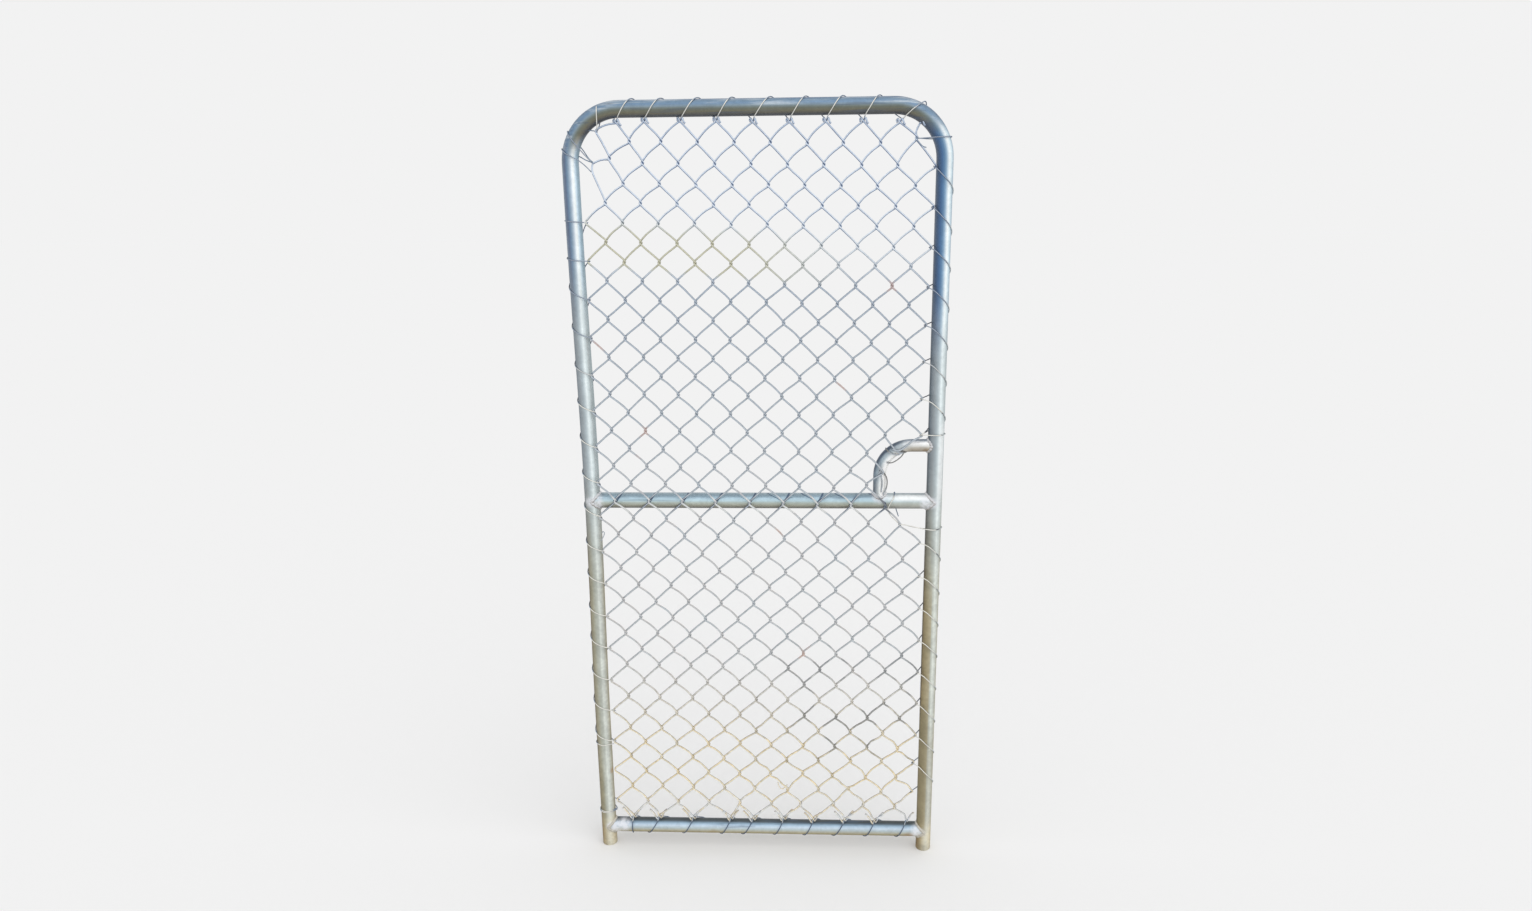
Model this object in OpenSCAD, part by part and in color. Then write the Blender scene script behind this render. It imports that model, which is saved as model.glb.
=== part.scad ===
// Chain-link gate leaf: a bent tube frame with two rails, a hand hole beside the latch stile,
// and diamond mesh laced to the frame with soft wire.
//
// The origin is the middle of the hinge stile's lower end. +X runs to the latch stile, +Z up the
// stile, and the front, which carries the mesh, faces -Y. Millimetres.

/* [Frame] */
// Distance between the centre lines of the two stiles
gate_width = 742; // [550:1:1100]
// Distance from the stiles' lower ends up to the bottom rail's centre line
leg_drop = 48; // [30:1:120]
// Distance from the bottom rail's centre line up to the top rail's
frame_rise = 1615; // [1200:1:2100]
// Distance from the bottom rail's centre line up to the mid rail's
mid_rise = 808; // [600:1:1000]
// Radius of the two top corners, on the centre line of the tube
corner_radius = 102; // [70:1:150]
// Outside diameter of the frame tube and the rails
tube_od = 33.7; // [26.9:0.1:42.4]
// Wall of the frame tube and the rails
tube_wall = 2.3; // [1.6:0.1:4]

/* [Hand hole] */
// Distance from the latch stile's centre line to the bent tube's upright leg
hole_width = 117; // [95:1:200]
// Distance from the mid rail's centre line up to the bent tube's level leg
hole_height = 123; // [100:1:220]
// Radius of the bent tube's corner, on its centre line
hole_radius = 66; // [45:1:80]
// Outside diameter of the bent tube
hole_tube_od = 26.9; // [21.3:0.1:33.7]
// Wall of the bent tube
hole_tube_wall = 2; // [1.2:0.1:3.2]

/* [Welds] */
// Leg length of the weld beads
weld_leg = 4; // [2:0.5:7]
// Gap left between a coped tube end and the tube it is welded to
cope_gap = 0.1; // [0.05:0.05:0.3]

/* [Mesh] */
// Diameter of the mesh wire
mesh_wire = 3.8; // [2:0.1:4]
// Width of one diamond, before it is fitted to the gate
diamond_width = 73.3; // [40:0.1:110]
// Height of one diamond, before it is fitted to the gate
diamond_height = 78.4; // [40:0.1:120]
// Distance from the hinge stile's tube to the middle of the bends at the mesh's side edge
hinge_gap = 7; // [3:0.1:20]
// Distance from the latch stile's tube to the middle of the bends at the mesh's side edge
latch_gap = 12; // [3:0.1:20]
// Distance from the top rail's tube down to the mesh's knuckled top edge
top_gap = 8.2; // [4:0.1:25]
// Distance from the bottom rail's tube up to the mesh's knuckled bottom edge
bottom_gap = 8.2; // [4:0.1:25]
// How much lower the rows of diamonds hang at the latch stile
row_drop = 12; // [0:1:20]
// How far the mesh's top and bottom edges lie in front of the tubes' centre plane
edge_forward = 6; // [0:0.5:15]
// Least gap between the tube of a top corner and the mesh that is drawn in beside it
corner_gap = 3; // [2:0.1:10]

/* [Lacing] */
// Diameter of the soft lacing wire
lace_wire = 2; // [1.2:0.1:3]
// Gap between the lacing and the tube it is wound round
lace_gap = 0.3; // [0.1:0.1:0.8]
// Distance round the bent tube's corner, from its lower end to the twisted mesh ends
hole_corner_tie = 58; // [30:1:70]

/* [Hidden] */
$fn = 64;

tube_r = tube_od / 2;
hole_r = hole_tube_od / 2;
bottom_z = leg_drop;
mid_z = leg_drop + mid_rise;
top_z = leg_drop + frame_rise;
corner_z = top_z - corner_radius;
hole_x = gate_width - hole_width;
hole_z = mid_z + hole_height;
hole_bend_x = hole_x + hole_radius;
hole_bend_z = hole_z - hole_radius;

// The mesh: whole pickets across, and an even count of half diamonds from edge to edge
mesh_left = tube_r + hinge_gap;
mesh_right = gate_width - tube_r - latch_gap;
mesh_low = bottom_z + tube_r + bottom_gap;
mesh_high = top_z - tube_r - top_gap;
columns = round((mesh_right - mesh_left) / (diamond_width / 2));
column_step = (mesh_right - mesh_left) / columns;
rows = 2 * round((mesh_high - mesh_low) / diamond_height);
row_step = (mesh_high - mesh_low) / rows;
// Rows over which the drop towards the latch stile builds up from the bottom edge
drop_rows = 8;
// Forward place of the mesh's middle where it passes in front of the mid rail
mesh_front = -(tube_r + mesh_wire / 2 + lace_gap);
// Half a strand's width, measured level across its slope
strand_half = mesh_wire / 2 * norm([column_step, row_step]) / row_step;
// Pickets that are whole beside the hand hole
middle_pickets = floor((hole_x - hole_r - mesh_left) / column_step);
// Columns that are drawn in where a round corner leaves no room for the mesh's edge
hinge_drawn = 6;
latch_drawn = 3;

// The lacing: rings and sides of the swept wire, and its radius round a tube
rings_per_turn = 10;
wire_sides = 5;
lace_clear = lace_wire / 2 + lace_gap;
// A swept turn is a polygon, so its corners stand further out to keep its sides clear
ring_grow = 1 / cos(180 / rings_per_turn);
// How far past the middle of a mesh bend the lacing reaches to hold it
lace_hook = 2 * mesh_wire;
// The lacing holds no bend that is nearer than this to the mid rail, where the weld is in its way
rail_room = 0.9 * row_step;
// From the weld at the bent tube's foot up to the mesh ends wound round its leg
leg_tie_rise = 12;
// From the bent tube's leg to the tie over the mid rail
rail_tie_in = 35;
// Advance of a tie in one turn, where its turns are close and where they are open
close_turn = 5;
open_turn = 10;

// ---- places in the mesh ----

function row_z(k, r) = mesh_low + r * row_step - row_drop * k / columns * min(1, r / drop_rows);
// How far in from a stile's centre line the frame leaves room for the mesh at a height
function room_from(z) =
    let (rise = min(max(z - corner_z, 0), corner_radius - tube_r))
    corner_radius - sqrt(pow(corner_radius - tube_r, 2) - rise * rise) + corner_gap;
// How far the k-th of n drawn columns from a side edge moves at a height
function drawn_in(k, n, gap, z) = max(0, room_from(z) - tube_r - gap) * max(0, 1 - k / n);
function column_x(k, r) =
    mesh_left + k * column_step
        + drawn_in(k, hinge_drawn, hinge_gap, row_z(k, r))
        - drawn_in(columns - k, latch_drawn, latch_gap, row_z(k, r));
// How far the mesh lies in front of the tubes' centre plane at a height
function mesh_forward(z) =
    let (far_z = z > mid_z ? mesh_high : mesh_low)
    -mesh_front + (edge_forward + mesh_front) * (z - mid_z) / (far_z - mid_z);
// Column k has a bend in every second row, from this one up
function first_row(k) = (k + 1) % 2;
// The highest row with a bend in column k that is no higher than z
function row_below(k, z) =
    2 * floor(((z - mesh_low) / row_step - first_row(k)) / 2) + first_row(k);
// The lowest row with a bend in column k that is no lower than z
function row_above(k, z) =
    2 * ceil(((z + row_drop - mesh_low) / row_step - first_row(k)) / 2) + first_row(k);

// ---- tubes ----

// A straight tube up +Z
module tube(d, wall, length) {
    difference() {
        cylinder(d = d, h = length);
        translate([0, 0, -1]) cylinder(d = d - 2 * wall, h = length + 2);
    }
}

// A quarter bend that starts at the origin along +Z and turns towards +X
module quarter_bend(d, wall, radius) {
    translate([radius, 0, 0]) rotate([90, 0, 0]) rotate([0, 0, 90]) rotate_extrude(angle = 90)
        translate([radius, 0]) difference() {
            circle(d = d);
            circle(d = d - 2 * wall);
        }
}

// A rail between the stiles, coped to fit them
module rail(z) {
    difference() {
        translate([0, 0, z]) rotate([0, 90, 0]) tube(tube_od, tube_wall, gate_width);
        for (x = [0, gate_width])
            translate([x, 0, z - tube_od]) cylinder(r = tube_r + cope_gap, h = 2 * tube_od);
    }
}

// ---- frame ----

module frame_hoop() {
    color("lightsteelblue") {
        for (x = [0, gate_width]) translate([x, 0, 0]) tube(tube_od, tube_wall, corner_z);
        translate([0, 0, corner_z]) quarter_bend(tube_od, tube_wall, corner_radius);
        translate([gate_width, 0, corner_z]) mirror([1, 0, 0])
            quarter_bend(tube_od, tube_wall, corner_radius);
        translate([corner_radius, 0, top_z]) rotate([0, 90, 0])
            tube(tube_od, tube_wall, gate_width - 2 * corner_radius);
    }
}

module mid_rail() {
    color("lightsteelblue") rail(mid_z);
}

module bottom_rail() {
    color("lightsteelblue") rail(bottom_z);
}

// The bent tube that frames the hand hole, coped to the mid rail and to the latch stile
module hand_hole_bend() {
    color("silver") difference() {
        union() {
            translate([hole_x, 0, mid_z]) tube(hole_tube_od, hole_tube_wall, hole_bend_z - mid_z);
            translate([hole_x, 0, hole_bend_z])
                quarter_bend(hole_tube_od, hole_tube_wall, hole_radius);
            translate([hole_bend_x, 0, hole_z]) rotate([0, 90, 0])
                tube(hole_tube_od, hole_tube_wall, gate_width - hole_bend_x);
        }
        translate([hole_x - tube_od, 0, mid_z]) rotate([0, 90, 0])
            cylinder(r = tube_r + cope_gap, h = 2 * tube_od);
        translate([gate_width, 0, hole_z - tube_od]) cylinder(r = tube_r + cope_gap, h = 2 * tube_od);
    }
}

// ---- welds ----

// A bead round a branch tube that leaves along +X from a tube that runs along Z
module weld(branch_r) {
    reach = tube_r + weld_leg;
    color("whitesmoke") difference() {
        intersection() {
            translate([0, 0, -2 * reach]) cylinder(r = reach, h = 4 * reach);
            translate([weld_leg / 2, 0, 0]) rotate([0, 90, 0])
                cylinder(r = branch_r + weld_leg, h = 2 * reach);
        }
        translate([0, 0, -3 * reach]) cylinder(r = tube_r, h = 6 * reach);
        translate([-reach, 0, 0]) rotate([0, 90, 0]) cylinder(r = branch_r, h = 4 * reach);
    }
}

module weld_hinge(z) {
    translate([0, 0, z]) weld(tube_r);
}

module weld_latch(z, branch_r) {
    translate([gate_width, 0, z]) mirror([1, 0, 0]) weld(branch_r);
}

module weld_hole_rail() {
    translate([hole_x, 0, mid_z]) rotate([0, -90, 0]) weld(hole_r);
}

// ---- mesh ----

// One picket wire seen from the front: a zigzag strip between column k and column k + 1
module picket_strip(k) {
    bends = [for (r = [0 : rows]) let (c = k + (k + r + 1) % 2) [column_x(c, r), row_z(c, r)]];
    polygon(concat(
        [for (b = bends) b - [strand_half, 0]],
        [for (i = [rows : -1 : 0]) bends[i] + [strand_half, 0]]
    ));
}

// A number of pickets, counted from the hinge stile and fused, between two heights
module mesh_field(z_low, z_high, pickets) {
    intersection() {
        union() {
            for (k = [0 : pickets - 1])
                picket_strip(k);
        }
        translate([0, z_low]) square([gate_width, z_high - z_low]);
    }
}

// Stands a field up against the mid rail and leans it back to its far edge's forward place
module hung_field(far_z) {
    lean = atan((-edge_forward - mesh_front) / (far_z - mid_z));
    color("slategray") translate([0, mesh_front, mid_z]) rotate([90 - lean, 0, 0])
        translate([0, -mid_z, -mesh_wire / 2]) linear_extrude(mesh_wire) children();
}

module mesh_upper() {
    hung_field(mesh_high) mesh_field(hole_z, top_z, columns);
}

module mesh_middle() {
    hung_field(mesh_high) mesh_field(mid_z, hole_z, middle_pickets);
}

module mesh_lower() {
    hung_field(mesh_low) mesh_field(bottom_z, mid_z, columns);
}

// ---- swept wire ----

function unit(v) = v / norm(v);
function heading(path, i) = unit(path[min(i + 1, len(path) - 1)] - path[max(i - 1, 0)]);
// Each ring's first axis is the one before it, turned square to the path
function ring_axes(path, i = 0, last = [0.31, 0.52, 0.8]) =
    i == len(path) ? [] :
    let (t = heading(path, i), a = unit(last - (last * t) * t))
    concat([a], ring_axes(path, i + 1, a));

module wire(path, d) {
    n = wire_sides;
    ends = len(path) - 1;
    axes = ring_axes(path);
    points = [
        for (i = [0 : ends])
            let (a = axes[i], b = cross(heading(path, i), a))
            for (s = [0 : n - 1]) path[i] + d / 2 * (cos(360 * s / n) * a + sin(360 * s / n) * b)
    ];
    sides = [
        for (i = [0 : ends - 1], s = [0 : n - 1])
            let (p = i * n + s, q = i * n + (s + 1) % n)
            for (f = [[p, p + n, q], [q, p + n, q + n]]) f
    ];
    caps = [[for (s = [0 : n - 1]) s], [for (s = [n - 1 : -1 : 0]) ends * n + s]];
    color("dimgray") polyhedron(points = points, faces = concat(sides, caps));
}

// ---- lacing ----

// A value between one hold and the next, after a number of turns
function between(values, turn) =
    let (i = min(floor(turn), len(values) - 2))
    values[i] + (values[i + 1] - values[i]) * (turn - i);

// How far a taut wire lies from the axis of a cylinder of radius r, an angle away from a point at
// a distance that it runs straight to
function taut(r, distance, angle) =
    distance <= r ? r : r / cos(max(0, acos(r / distance) - angle));

// A wire wound round a tube of radius r, one turn from each hold to the next. line(s) gives the
// place on the tube's centre line at a distance s, and the way in from there. A hold is [s, depth,
// forward]: how far in from the centre line, and how far in front of it, lies the thing that the
// wire is hooked round. With a depth of 0 it is only the tube. Side is 1 where the wire leaves a
// hold over the tube's front, and -1 where it leaves behind the tube. The wire goes straight round
// at a hold and runs on along the tube's far side.
function winding(line, holds, r, side) =
    let (
        around = (r + lace_clear) * ring_grow,
        places = [for (h = holds) h[0]],
        leans = [for (h = holds) side * atan2(h[2], h[1])],
        depths = [for (h = holds) norm([h[1], h[2]]) + lace_hook]
    )
    [
        for (i = [0 : (len(holds) - 1) * rings_per_turn])
            let (
                turn = i / rings_per_turn,
                t = 360 * turn + between(leans, turn),
                reach = taut(around, depths[round(turn)], 360 * abs(turn - round(turn))),
                at = line(between(places, turn - sin(360 * turn) / (2 * PI)))
            )
            at[0] + reach * (at[1] * cos(t) - [0, side * sin(t), 0])
    ];

// A place on the centre line of a tube that rises by a leg from [x, 0, z] and then bends to run
// along +X, and the way in to the middle of the bend. s is the distance along the tube.
function bent_line(x, z, leg, radius, s) =
    let (
        a = min(90, max(0, s - leg) / radius * 180 / PI),
        past = max(0, s - leg - radius * PI / 2)
    )
    [
        [x + radius * (1 - cos(a)) + past, 0, z + min(s, leg) + radius * sin(a)],
        [cos(a), 0, -sin(a)]
    ];

// The centre lines of the tubes, each with the way in to the mesh. On the top rail s is x.
corner_line = function (s) bent_line(0, 0, corner_z, corner_radius, s);
top_line = function (s) corner_line(s + corner_z + corner_radius * (PI / 2 - 1));
hole_line = function (s) bent_line(hole_x, mid_z, hole_bend_z - mid_z, hole_radius, s);
bottom_line = function (s) [[s, 0, bottom_z], [0, 0, 1]];
mid_line = function (s) [[s, 0, mid_z], [0, 0, 1]];
hinge_line = function (s) [[0, 0, s], [1, 0, 0]];
latch_line = function (s) [[gate_width, 0, s], [-1, 0, 0]];

// The last column whose wires end in knuckles
last_knuckle = columns - first_row(columns);

module lacing_top() {
    holds = [
        for (k = [1 : 2 : last_knuckle - 2])
            if (column_x(k, rows) < gate_width - corner_radius)
                [column_x(k, rows), top_z - row_z(k, rows), edge_forward]
    ];
    wire(winding(top_line, holds, tube_r, 1), lace_wire);
}

module lacing_bottom() {
    holds = [
        for (k = [last_knuckle : -2 : 1])
            [column_x(k, 0), row_z(k, 0) - bottom_z, edge_forward]
    ];
    wire(winding(bottom_line, holds, tube_r, 1), lace_wire);
}

// A hold on the bend of the mesh in column k and row r, from a stile at stile_x
function stile_hold(stile_x, k, r) =
    [row_z(k, r), abs(column_x(k, r) - stile_x), mesh_forward(row_z(k, r))];

// Lacing down a stile, from one row of the mesh's side edge to another
module lacing_stile(line, stile_x, k, row_from, row_to, side) {
    holds = [
        for (r = [row_from : -2 : row_to])
            if (abs(row_z(k, r) - mid_z) > rail_room) stile_hold(stile_x, k, r)
    ];
    wire(winding(line, holds, tube_r, side), lace_wire);
}

module lacing_hinge() {
    lacing_stile(hinge_line, 0, 0, row_below(0, corner_z - 3 * row_step), 3, -1);
}

module lacing_latch_upper() {
    lacing_stile(latch_line, gate_width, columns, row_below(columns, corner_z),
        row_above(columns, hole_z + hole_r + weld_leg + lace_wire), 1);
}

module lacing_latch_lower() {
    lacing_stile(latch_line, gate_width, columns, row_below(columns, mid_z - 2 * row_step),
        2 + first_row(columns), 1);
}

// ---- ties ----

// A tie from a hold that goes round the tube a number of times, advance further on each time
module tie(line, hold, advance, turns, r, side) {
    rest = [for (i = [1 : turns]) [hold[0] + i * advance, 0, 0]];
    wire(winding(line, concat([hold], rest), r, side), lace_wire);
}

// A tie from a top corner's bend to a bend of the mesh that is x in from the stile's centre line
module corner_tie(x, z) {
    in = [corner_radius - x, z - corner_z];
    up = atan2(in[1], in[0]) / 180 * PI * corner_radius;
    tie(corner_line, [corner_z + up, corner_radius - norm(in), mesh_forward(z)],
        open_turn, 2, tube_r, 1);
}

module tie_corner_hinge() {
    corner_tie(column_x(0, rows - 1), row_z(0, rows - 1));
}

module tie_corner_latch() {
    k = columns - columns % 2;
    translate([gate_width, 0, 0]) mirror([1, 0, 0])
        corner_tie(gate_width - column_x(k, rows - 1), row_z(k, rows - 1));
}

module tie_foot_hinge() {
    tie(hinge_line, stile_hold(0, 0, 1), -close_turn, 2, tube_r, -1);
}

module tie_latch_stile() {
    k = columns - 1;
    tie(latch_line, stile_hold(gate_width, k, row_below(k, mid_z - row_step)), -close_turn, 1,
        tube_r, 1);
}

module tie_mid_rail() {
    tie(mid_line, [hole_x + rail_tie_in, tube_r, 0], close_turn, 1, tube_r, 1);
}

// Cut mesh ends twisted round the bent tube's corner
module tie_hole_corner() {
    tie(hole_line, [hole_bend_z - mid_z + hole_corner_tie, 0, 0], open_turn, 2, hole_r, 1);
}

module tie_hole_leg() {
    tie(hole_line, [tube_r + weld_leg + leg_tie_rise, hole_r, 0], open_turn, 2, hole_r, 1);
}

frame_hoop();
mid_rail();
bottom_rail();
hand_hole_bend();
weld_hinge(mid_z);  // weld_mid_hinge
weld_latch(mid_z, tube_r);  // weld_mid_latch
weld_hinge(bottom_z);  // weld_bottom_hinge
weld_latch(bottom_z, tube_r);  // weld_bottom_latch
weld_latch(hole_z, hole_r);  // weld_hole_stile
weld_hole_rail();
mesh_upper();
mesh_middle();
mesh_lower();
lacing_top();
lacing_hinge();
lacing_latch_upper();
lacing_latch_lower();
lacing_bottom();
tie_corner_hinge();
tie_corner_latch();
tie_foot_hinge();
tie_latch_stile();
tie_mid_rail();
tie_hole_corner();
tie_hole_leg();
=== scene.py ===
# %% [markdown]
# # Chain-link gate leaf
#
# A single gate leaf: a bent galvanised tube frame with two rails, a small bent tube that frames a
# hand hole beside the latch stile, and a field of woven diamond mesh laced to the tubes with soft
# wire. The rails and the small bent tube come from the CAD assembly. The bent frame tube is drawn
# again with its bow, and the woven mesh, the lacing, the ties and the weld beads are made here,
# because their roundness and their untidiness are what a real one is made of.
#
# All lengths are in millimetres until a piece is made. The finishes work in metres, as Blender
# does. x runs from the hinge stile to the latch stile, y to the back and z up from the ground.

# %% Load the CAD assembly
import json
import math

import bpy
import numpy as np
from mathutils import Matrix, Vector


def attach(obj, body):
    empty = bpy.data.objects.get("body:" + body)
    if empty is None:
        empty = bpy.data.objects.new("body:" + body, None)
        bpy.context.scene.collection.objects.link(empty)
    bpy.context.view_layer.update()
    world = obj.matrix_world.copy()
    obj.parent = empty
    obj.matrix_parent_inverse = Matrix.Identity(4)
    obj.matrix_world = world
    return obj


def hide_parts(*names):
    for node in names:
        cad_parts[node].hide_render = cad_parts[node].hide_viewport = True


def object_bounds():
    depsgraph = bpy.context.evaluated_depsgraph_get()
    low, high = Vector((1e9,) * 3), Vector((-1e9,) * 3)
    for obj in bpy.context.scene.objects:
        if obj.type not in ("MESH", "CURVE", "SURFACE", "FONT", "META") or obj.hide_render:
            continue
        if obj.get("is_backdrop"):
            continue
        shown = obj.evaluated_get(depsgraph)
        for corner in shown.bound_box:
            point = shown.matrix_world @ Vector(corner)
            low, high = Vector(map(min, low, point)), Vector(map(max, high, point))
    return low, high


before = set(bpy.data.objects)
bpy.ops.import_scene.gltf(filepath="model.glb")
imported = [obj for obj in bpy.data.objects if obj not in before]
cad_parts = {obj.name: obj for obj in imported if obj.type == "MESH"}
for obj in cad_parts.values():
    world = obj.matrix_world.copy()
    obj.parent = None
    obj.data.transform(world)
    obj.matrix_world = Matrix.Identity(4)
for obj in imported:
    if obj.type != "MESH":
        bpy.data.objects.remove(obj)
cad_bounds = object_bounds()
MM = 0.001
print("loaded", len(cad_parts), "CAD nodes")

# %% [markdown]
# ## The frame's own lines
#
# The wires are wound round the tubes, so the tubes' centre lines come first. They are the same
# lines that the CAD assembly was drawn from: two stiles, a quarter bend at each top corner, a top
# rail and a bottom rail. The real hinge stile is not quite straight any more: the lacing has pulled
# its middle about five millimetres inwards.
#
# A centre line could be a curve object, but a wire that winds round it needs to ask where the line
# is and which way is in. So each line is a function, of a length along the bent tube or of x along
# a rail, and it answers with a place and the way in.

# %% The tubes' sizes
# Widths, heights and places are those of the tubes' middles
GATE_WIDTH = 742
TOP_Z = 1663
MID_Z = 856
BOTTOM_Z = 48
CORNER_RADIUS = 102
CORNER_Z = TOP_Z - CORNER_RADIUS
TUBE_R = 16.85
TUBE_WALL = 2.3
HOLE_X = 625
HOLE_Z = 979
HOLE_R = 13.45
BOW = 5.4
print("the corners start at a height of", CORNER_Z, "mm")


# %% The tubes' centre lines
def bent_line(x, s, turned=1):
    """The bent tube's centre line, up a leg that stands at x and round its corner, and the way in."""
    angle = min(math.pi / 2, max(0, s - CORNER_Z) / CORNER_RADIUS)
    past = max(0, s - CORNER_Z - CORNER_RADIUS * math.pi / 2)
    along = turned * (CORNER_RADIUS * (1 - math.cos(angle)) + past)
    height = min(s, CORNER_Z) + CORNER_RADIUS * math.sin(angle)
    way_in = np.array((turned * math.cos(angle), 0, -math.sin(angle)))
    return np.array((x + along, 0, height)), way_in


def bow(z):
    """How far the hinge stile has been pulled in towards the mesh at a height."""
    return BOW * math.sin(math.pi * (z - 300) / 1200) ** 2 if 300 < z < 1500 else 0


def hinge_line(s):
    place, inward = bent_line(0, s)
    return place + np.array((bow(s), 0, 0)), inward


def latch_line(s):
    return bent_line(GATE_WIDTH, s, -1)


def top_line(x):
    return hinge_line(x + CORNER_Z + CORNER_RADIUS * (math.pi / 2 - 1))


def bottom_line(x):
    return np.array((x, 0, BOTTOM_Z)), np.array((0, 0, 1))


print("the hinge stile is pulled in by", round(bow(900), 1), "mm at a height of 900 mm")

# %% [markdown]
# ## Camera
#
# The gate is seen from about the height of its top rail, a little over two metres in front and a
# little to the left of its middle, looking down at it with a slightly wide lens. That is why the
# stiles lean together towards the ground.

# %% Camera
camera_data = bpy.data.cameras.new("camera")
camera_data.lens = 24.96
camera_data.sensor_width = 36
camera_data.clip_end = 50
camera = bpy.data.objects.new("camera", camera_data)
camera.location = (0.487, -2.177, 1.566)
camera.rotation_euler = [math.radians(a) for a in (74.376, 0.670, 2.539)]
bpy.context.scene.collection.objects.link(camera)
bpy.context.scene.camera = camera
print("camera at", tuple(round(v, 3) for v in camera.location))

# %% [markdown]
# ## Shader maths as ordinary sums
#
# Every finish here depends on where a point is and which way it faces, so it is easiest to read as
# a formula. Nodes could be placed and linked one by one, but then the formula is lost. One small
# class wraps a node's output, and the usual signs work on it. Colours are written as they look on
# a screen, from 0 to 255, and a ramp's stops run from -1 to 1, as the parts of a facing do.


# %% Colours
def srgb(red, green, blue):
    """A colour as it is seen on a screen, 0 to 255, as the linear colour that a shader takes."""
    seen_as = [v / 255 for v in (red, green, blue)]
    return tuple(v / 12.92 if v <= 0.04045 else ((v + 0.055) / 1.055) ** 2.4 for v in seen_as)


def set_stops(color_ramp, stops):
    """Gives a colour ramp its stops, each of them a value from -1 to 1 and a colour."""
    for _ in range(len(stops) - 2):
        color_ramp.elements.new(0.5)
    for element, (value, colour) in zip(color_ramp.elements, stops):
        element.position = value * 0.5 + 0.5
        element.color = (*srgb(*colour), 1)


print("dark zinc is", [round(v, 3) for v in srgb(95, 110, 134)])


# %% Sums of shader nodes
class Shade:
    """One output of a shader node, which takes part in ordinary sums."""

    def __init__(self, tree, socket=None):
        self.tree = tree
        self.socket = socket

    def make(self, kind, settings, sockets, output=0):
        """A new node: its settings first, then what goes into its sockets."""
        node = self.tree.nodes.new(kind)
        for name, value in settings.items():
            if name == "stops":
                set_stops(node.color_ramp, value)
            else:
                setattr(node, name, value)
        for name, value in sockets.items():
            if isinstance(value, Shade):
                self.tree.links.new(value.socket, node.inputs[name])
            elif isinstance(value, tuple) and node.inputs[name].type == "RGBA":
                node.inputs[name].default_value = (*value, 1)
            else:
                node.inputs[name].default_value = value
        return Shade(self.tree, node.outputs[output])

    def maths(self, operation, *values):
        return self.make("ShaderNodeMath", {"operation": operation}, dict(enumerate(values)))

    def __add__(self, other):
        return self.maths("ADD", self, other)

    def __radd__(self, other):
        return self.maths("ADD", other, self)

    def __sub__(self, other):
        return self.maths("SUBTRACT", self, other)

    def __rsub__(self, other):
        return self.maths("SUBTRACT", other, self)

    def __mul__(self, other):
        return self.maths("MULTIPLY", self, other)

    def __rmul__(self, other):
        return self.maths("MULTIPLY", other, self)

    def __truediv__(self, other):
        return self.maths("DIVIDE", self, other)

    def __pow__(self, other):
        return self.maths("POWER", self, other)

    def __abs__(self):
        return self.maths("ABSOLUTE", self)

    def sign(self):
        return self.maths("SIGN", self)

    def at_least(self, least):
        return self.maths("MAXIMUM", self, least)

    def wrapped(self, length):
        """This distance from the nearest of some lines that stand a length apart."""
        return abs(self.maths("WRAP", self, length / 2, -length / 2))

    def step(self, low, high):
        """0 below low and 1 above high, or the other way round, and smooth between them."""
        if low > high:
            return 1 - self.step(high, low)
        settings = {"interpolation_type": "SMOOTHSTEP"}
        return self.make("ShaderNodeMapRange", settings, {"Value": self, 1: low, 2: high})

    def band(self, begins, full, fades, ends):
        """1 between full and fades, and 0 below where it begins and above where it ends."""
        return self.step(begins, full) * self.step(ends, fades)

    def mix(self, first, second):
        """The first colour where this is 0 and the second where it is 1."""
        sockets = {0: self, 6: first, 7: second}
        return self.make("ShaderNodeMix", {"data_type": "RGBA"}, sockets, 2)

    def ramp(self, stops):
        """A colour for each value from -1 to 1, by way of a list of stops."""
        return self.make("ShaderNodeValToRGB", {"stops": stops}, {0: self * 0.5 + 0.5})

    def part(self, axis):
        return self.make("ShaderNodeSeparateXYZ", {}, {0: self}, axis)

    x = property(lambda self: self.part(0))
    y = property(lambda self: self.part(1))
    z = property(lambda self: self.part(2))

    def scaled(self, factor):
        """This colour or vector, times a number."""
        return self.make("ShaderNodeVectorMath", {"operation": "SCALE"}, {0: self, 3: factor})

    def stretched(self, x, y, z):
        """These coordinates, each times its own number."""
        return self.make("ShaderNodeVectorMath", {"operation": "MULTIPLY"}, {0: self, 1: (x, y, z)})

    def near(self, spot, none, full):
        """1 where these coordinates are nearer to a spot than full, and 0 further off than none.
        The spot and both distances are in millimetres."""
        sockets = {0: self, 1: tuple(v * MM for v in spot)}
        away = self.make("ShaderNodeVectorMath", {"operation": "DISTANCE"}, sockets, 1)
        return away.step(none * MM, full * MM)

    def noise(self, scale, detail=3, roughness=0.55):
        sockets = {"Vector": self, "Scale": scale, "Detail": detail, "Roughness": roughness}
        return self.make("ShaderNodeTexNoise", {}, sockets)

    def cells(self, scale):
        """A grey for each crystal of a spangle."""
        return self.make("ShaderNodeTexVoronoi", {}, {"Vector": self, "Scale": scale}, 1).x


print("a shade has", ", ".join(name for name in vars(Shade) if not name.startswith("_")))

# %% Materials
# How metallic the weathered zinc is, and how deep its finest relief is in metres
TUBE_METALLIC = 0.25
WIRE_METALLIC = 0.2
ZINC_RELIEF = 0.00012


def new_finish(name, metallic):
    """A material, with the place and the facing that its paint is worked out from."""
    material = bpy.data.materials.new(name)
    material.use_nodes = True
    tree = material.node_tree
    tree.nodes["Principled BSDF"].inputs["Metallic"].default_value = metallic
    place = Shade(tree).make("ShaderNodeTexCoord", {}, {}, "Object")
    return material, place, place.make("ShaderNodeTexCoord", {}, {}, "Normal")


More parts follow.
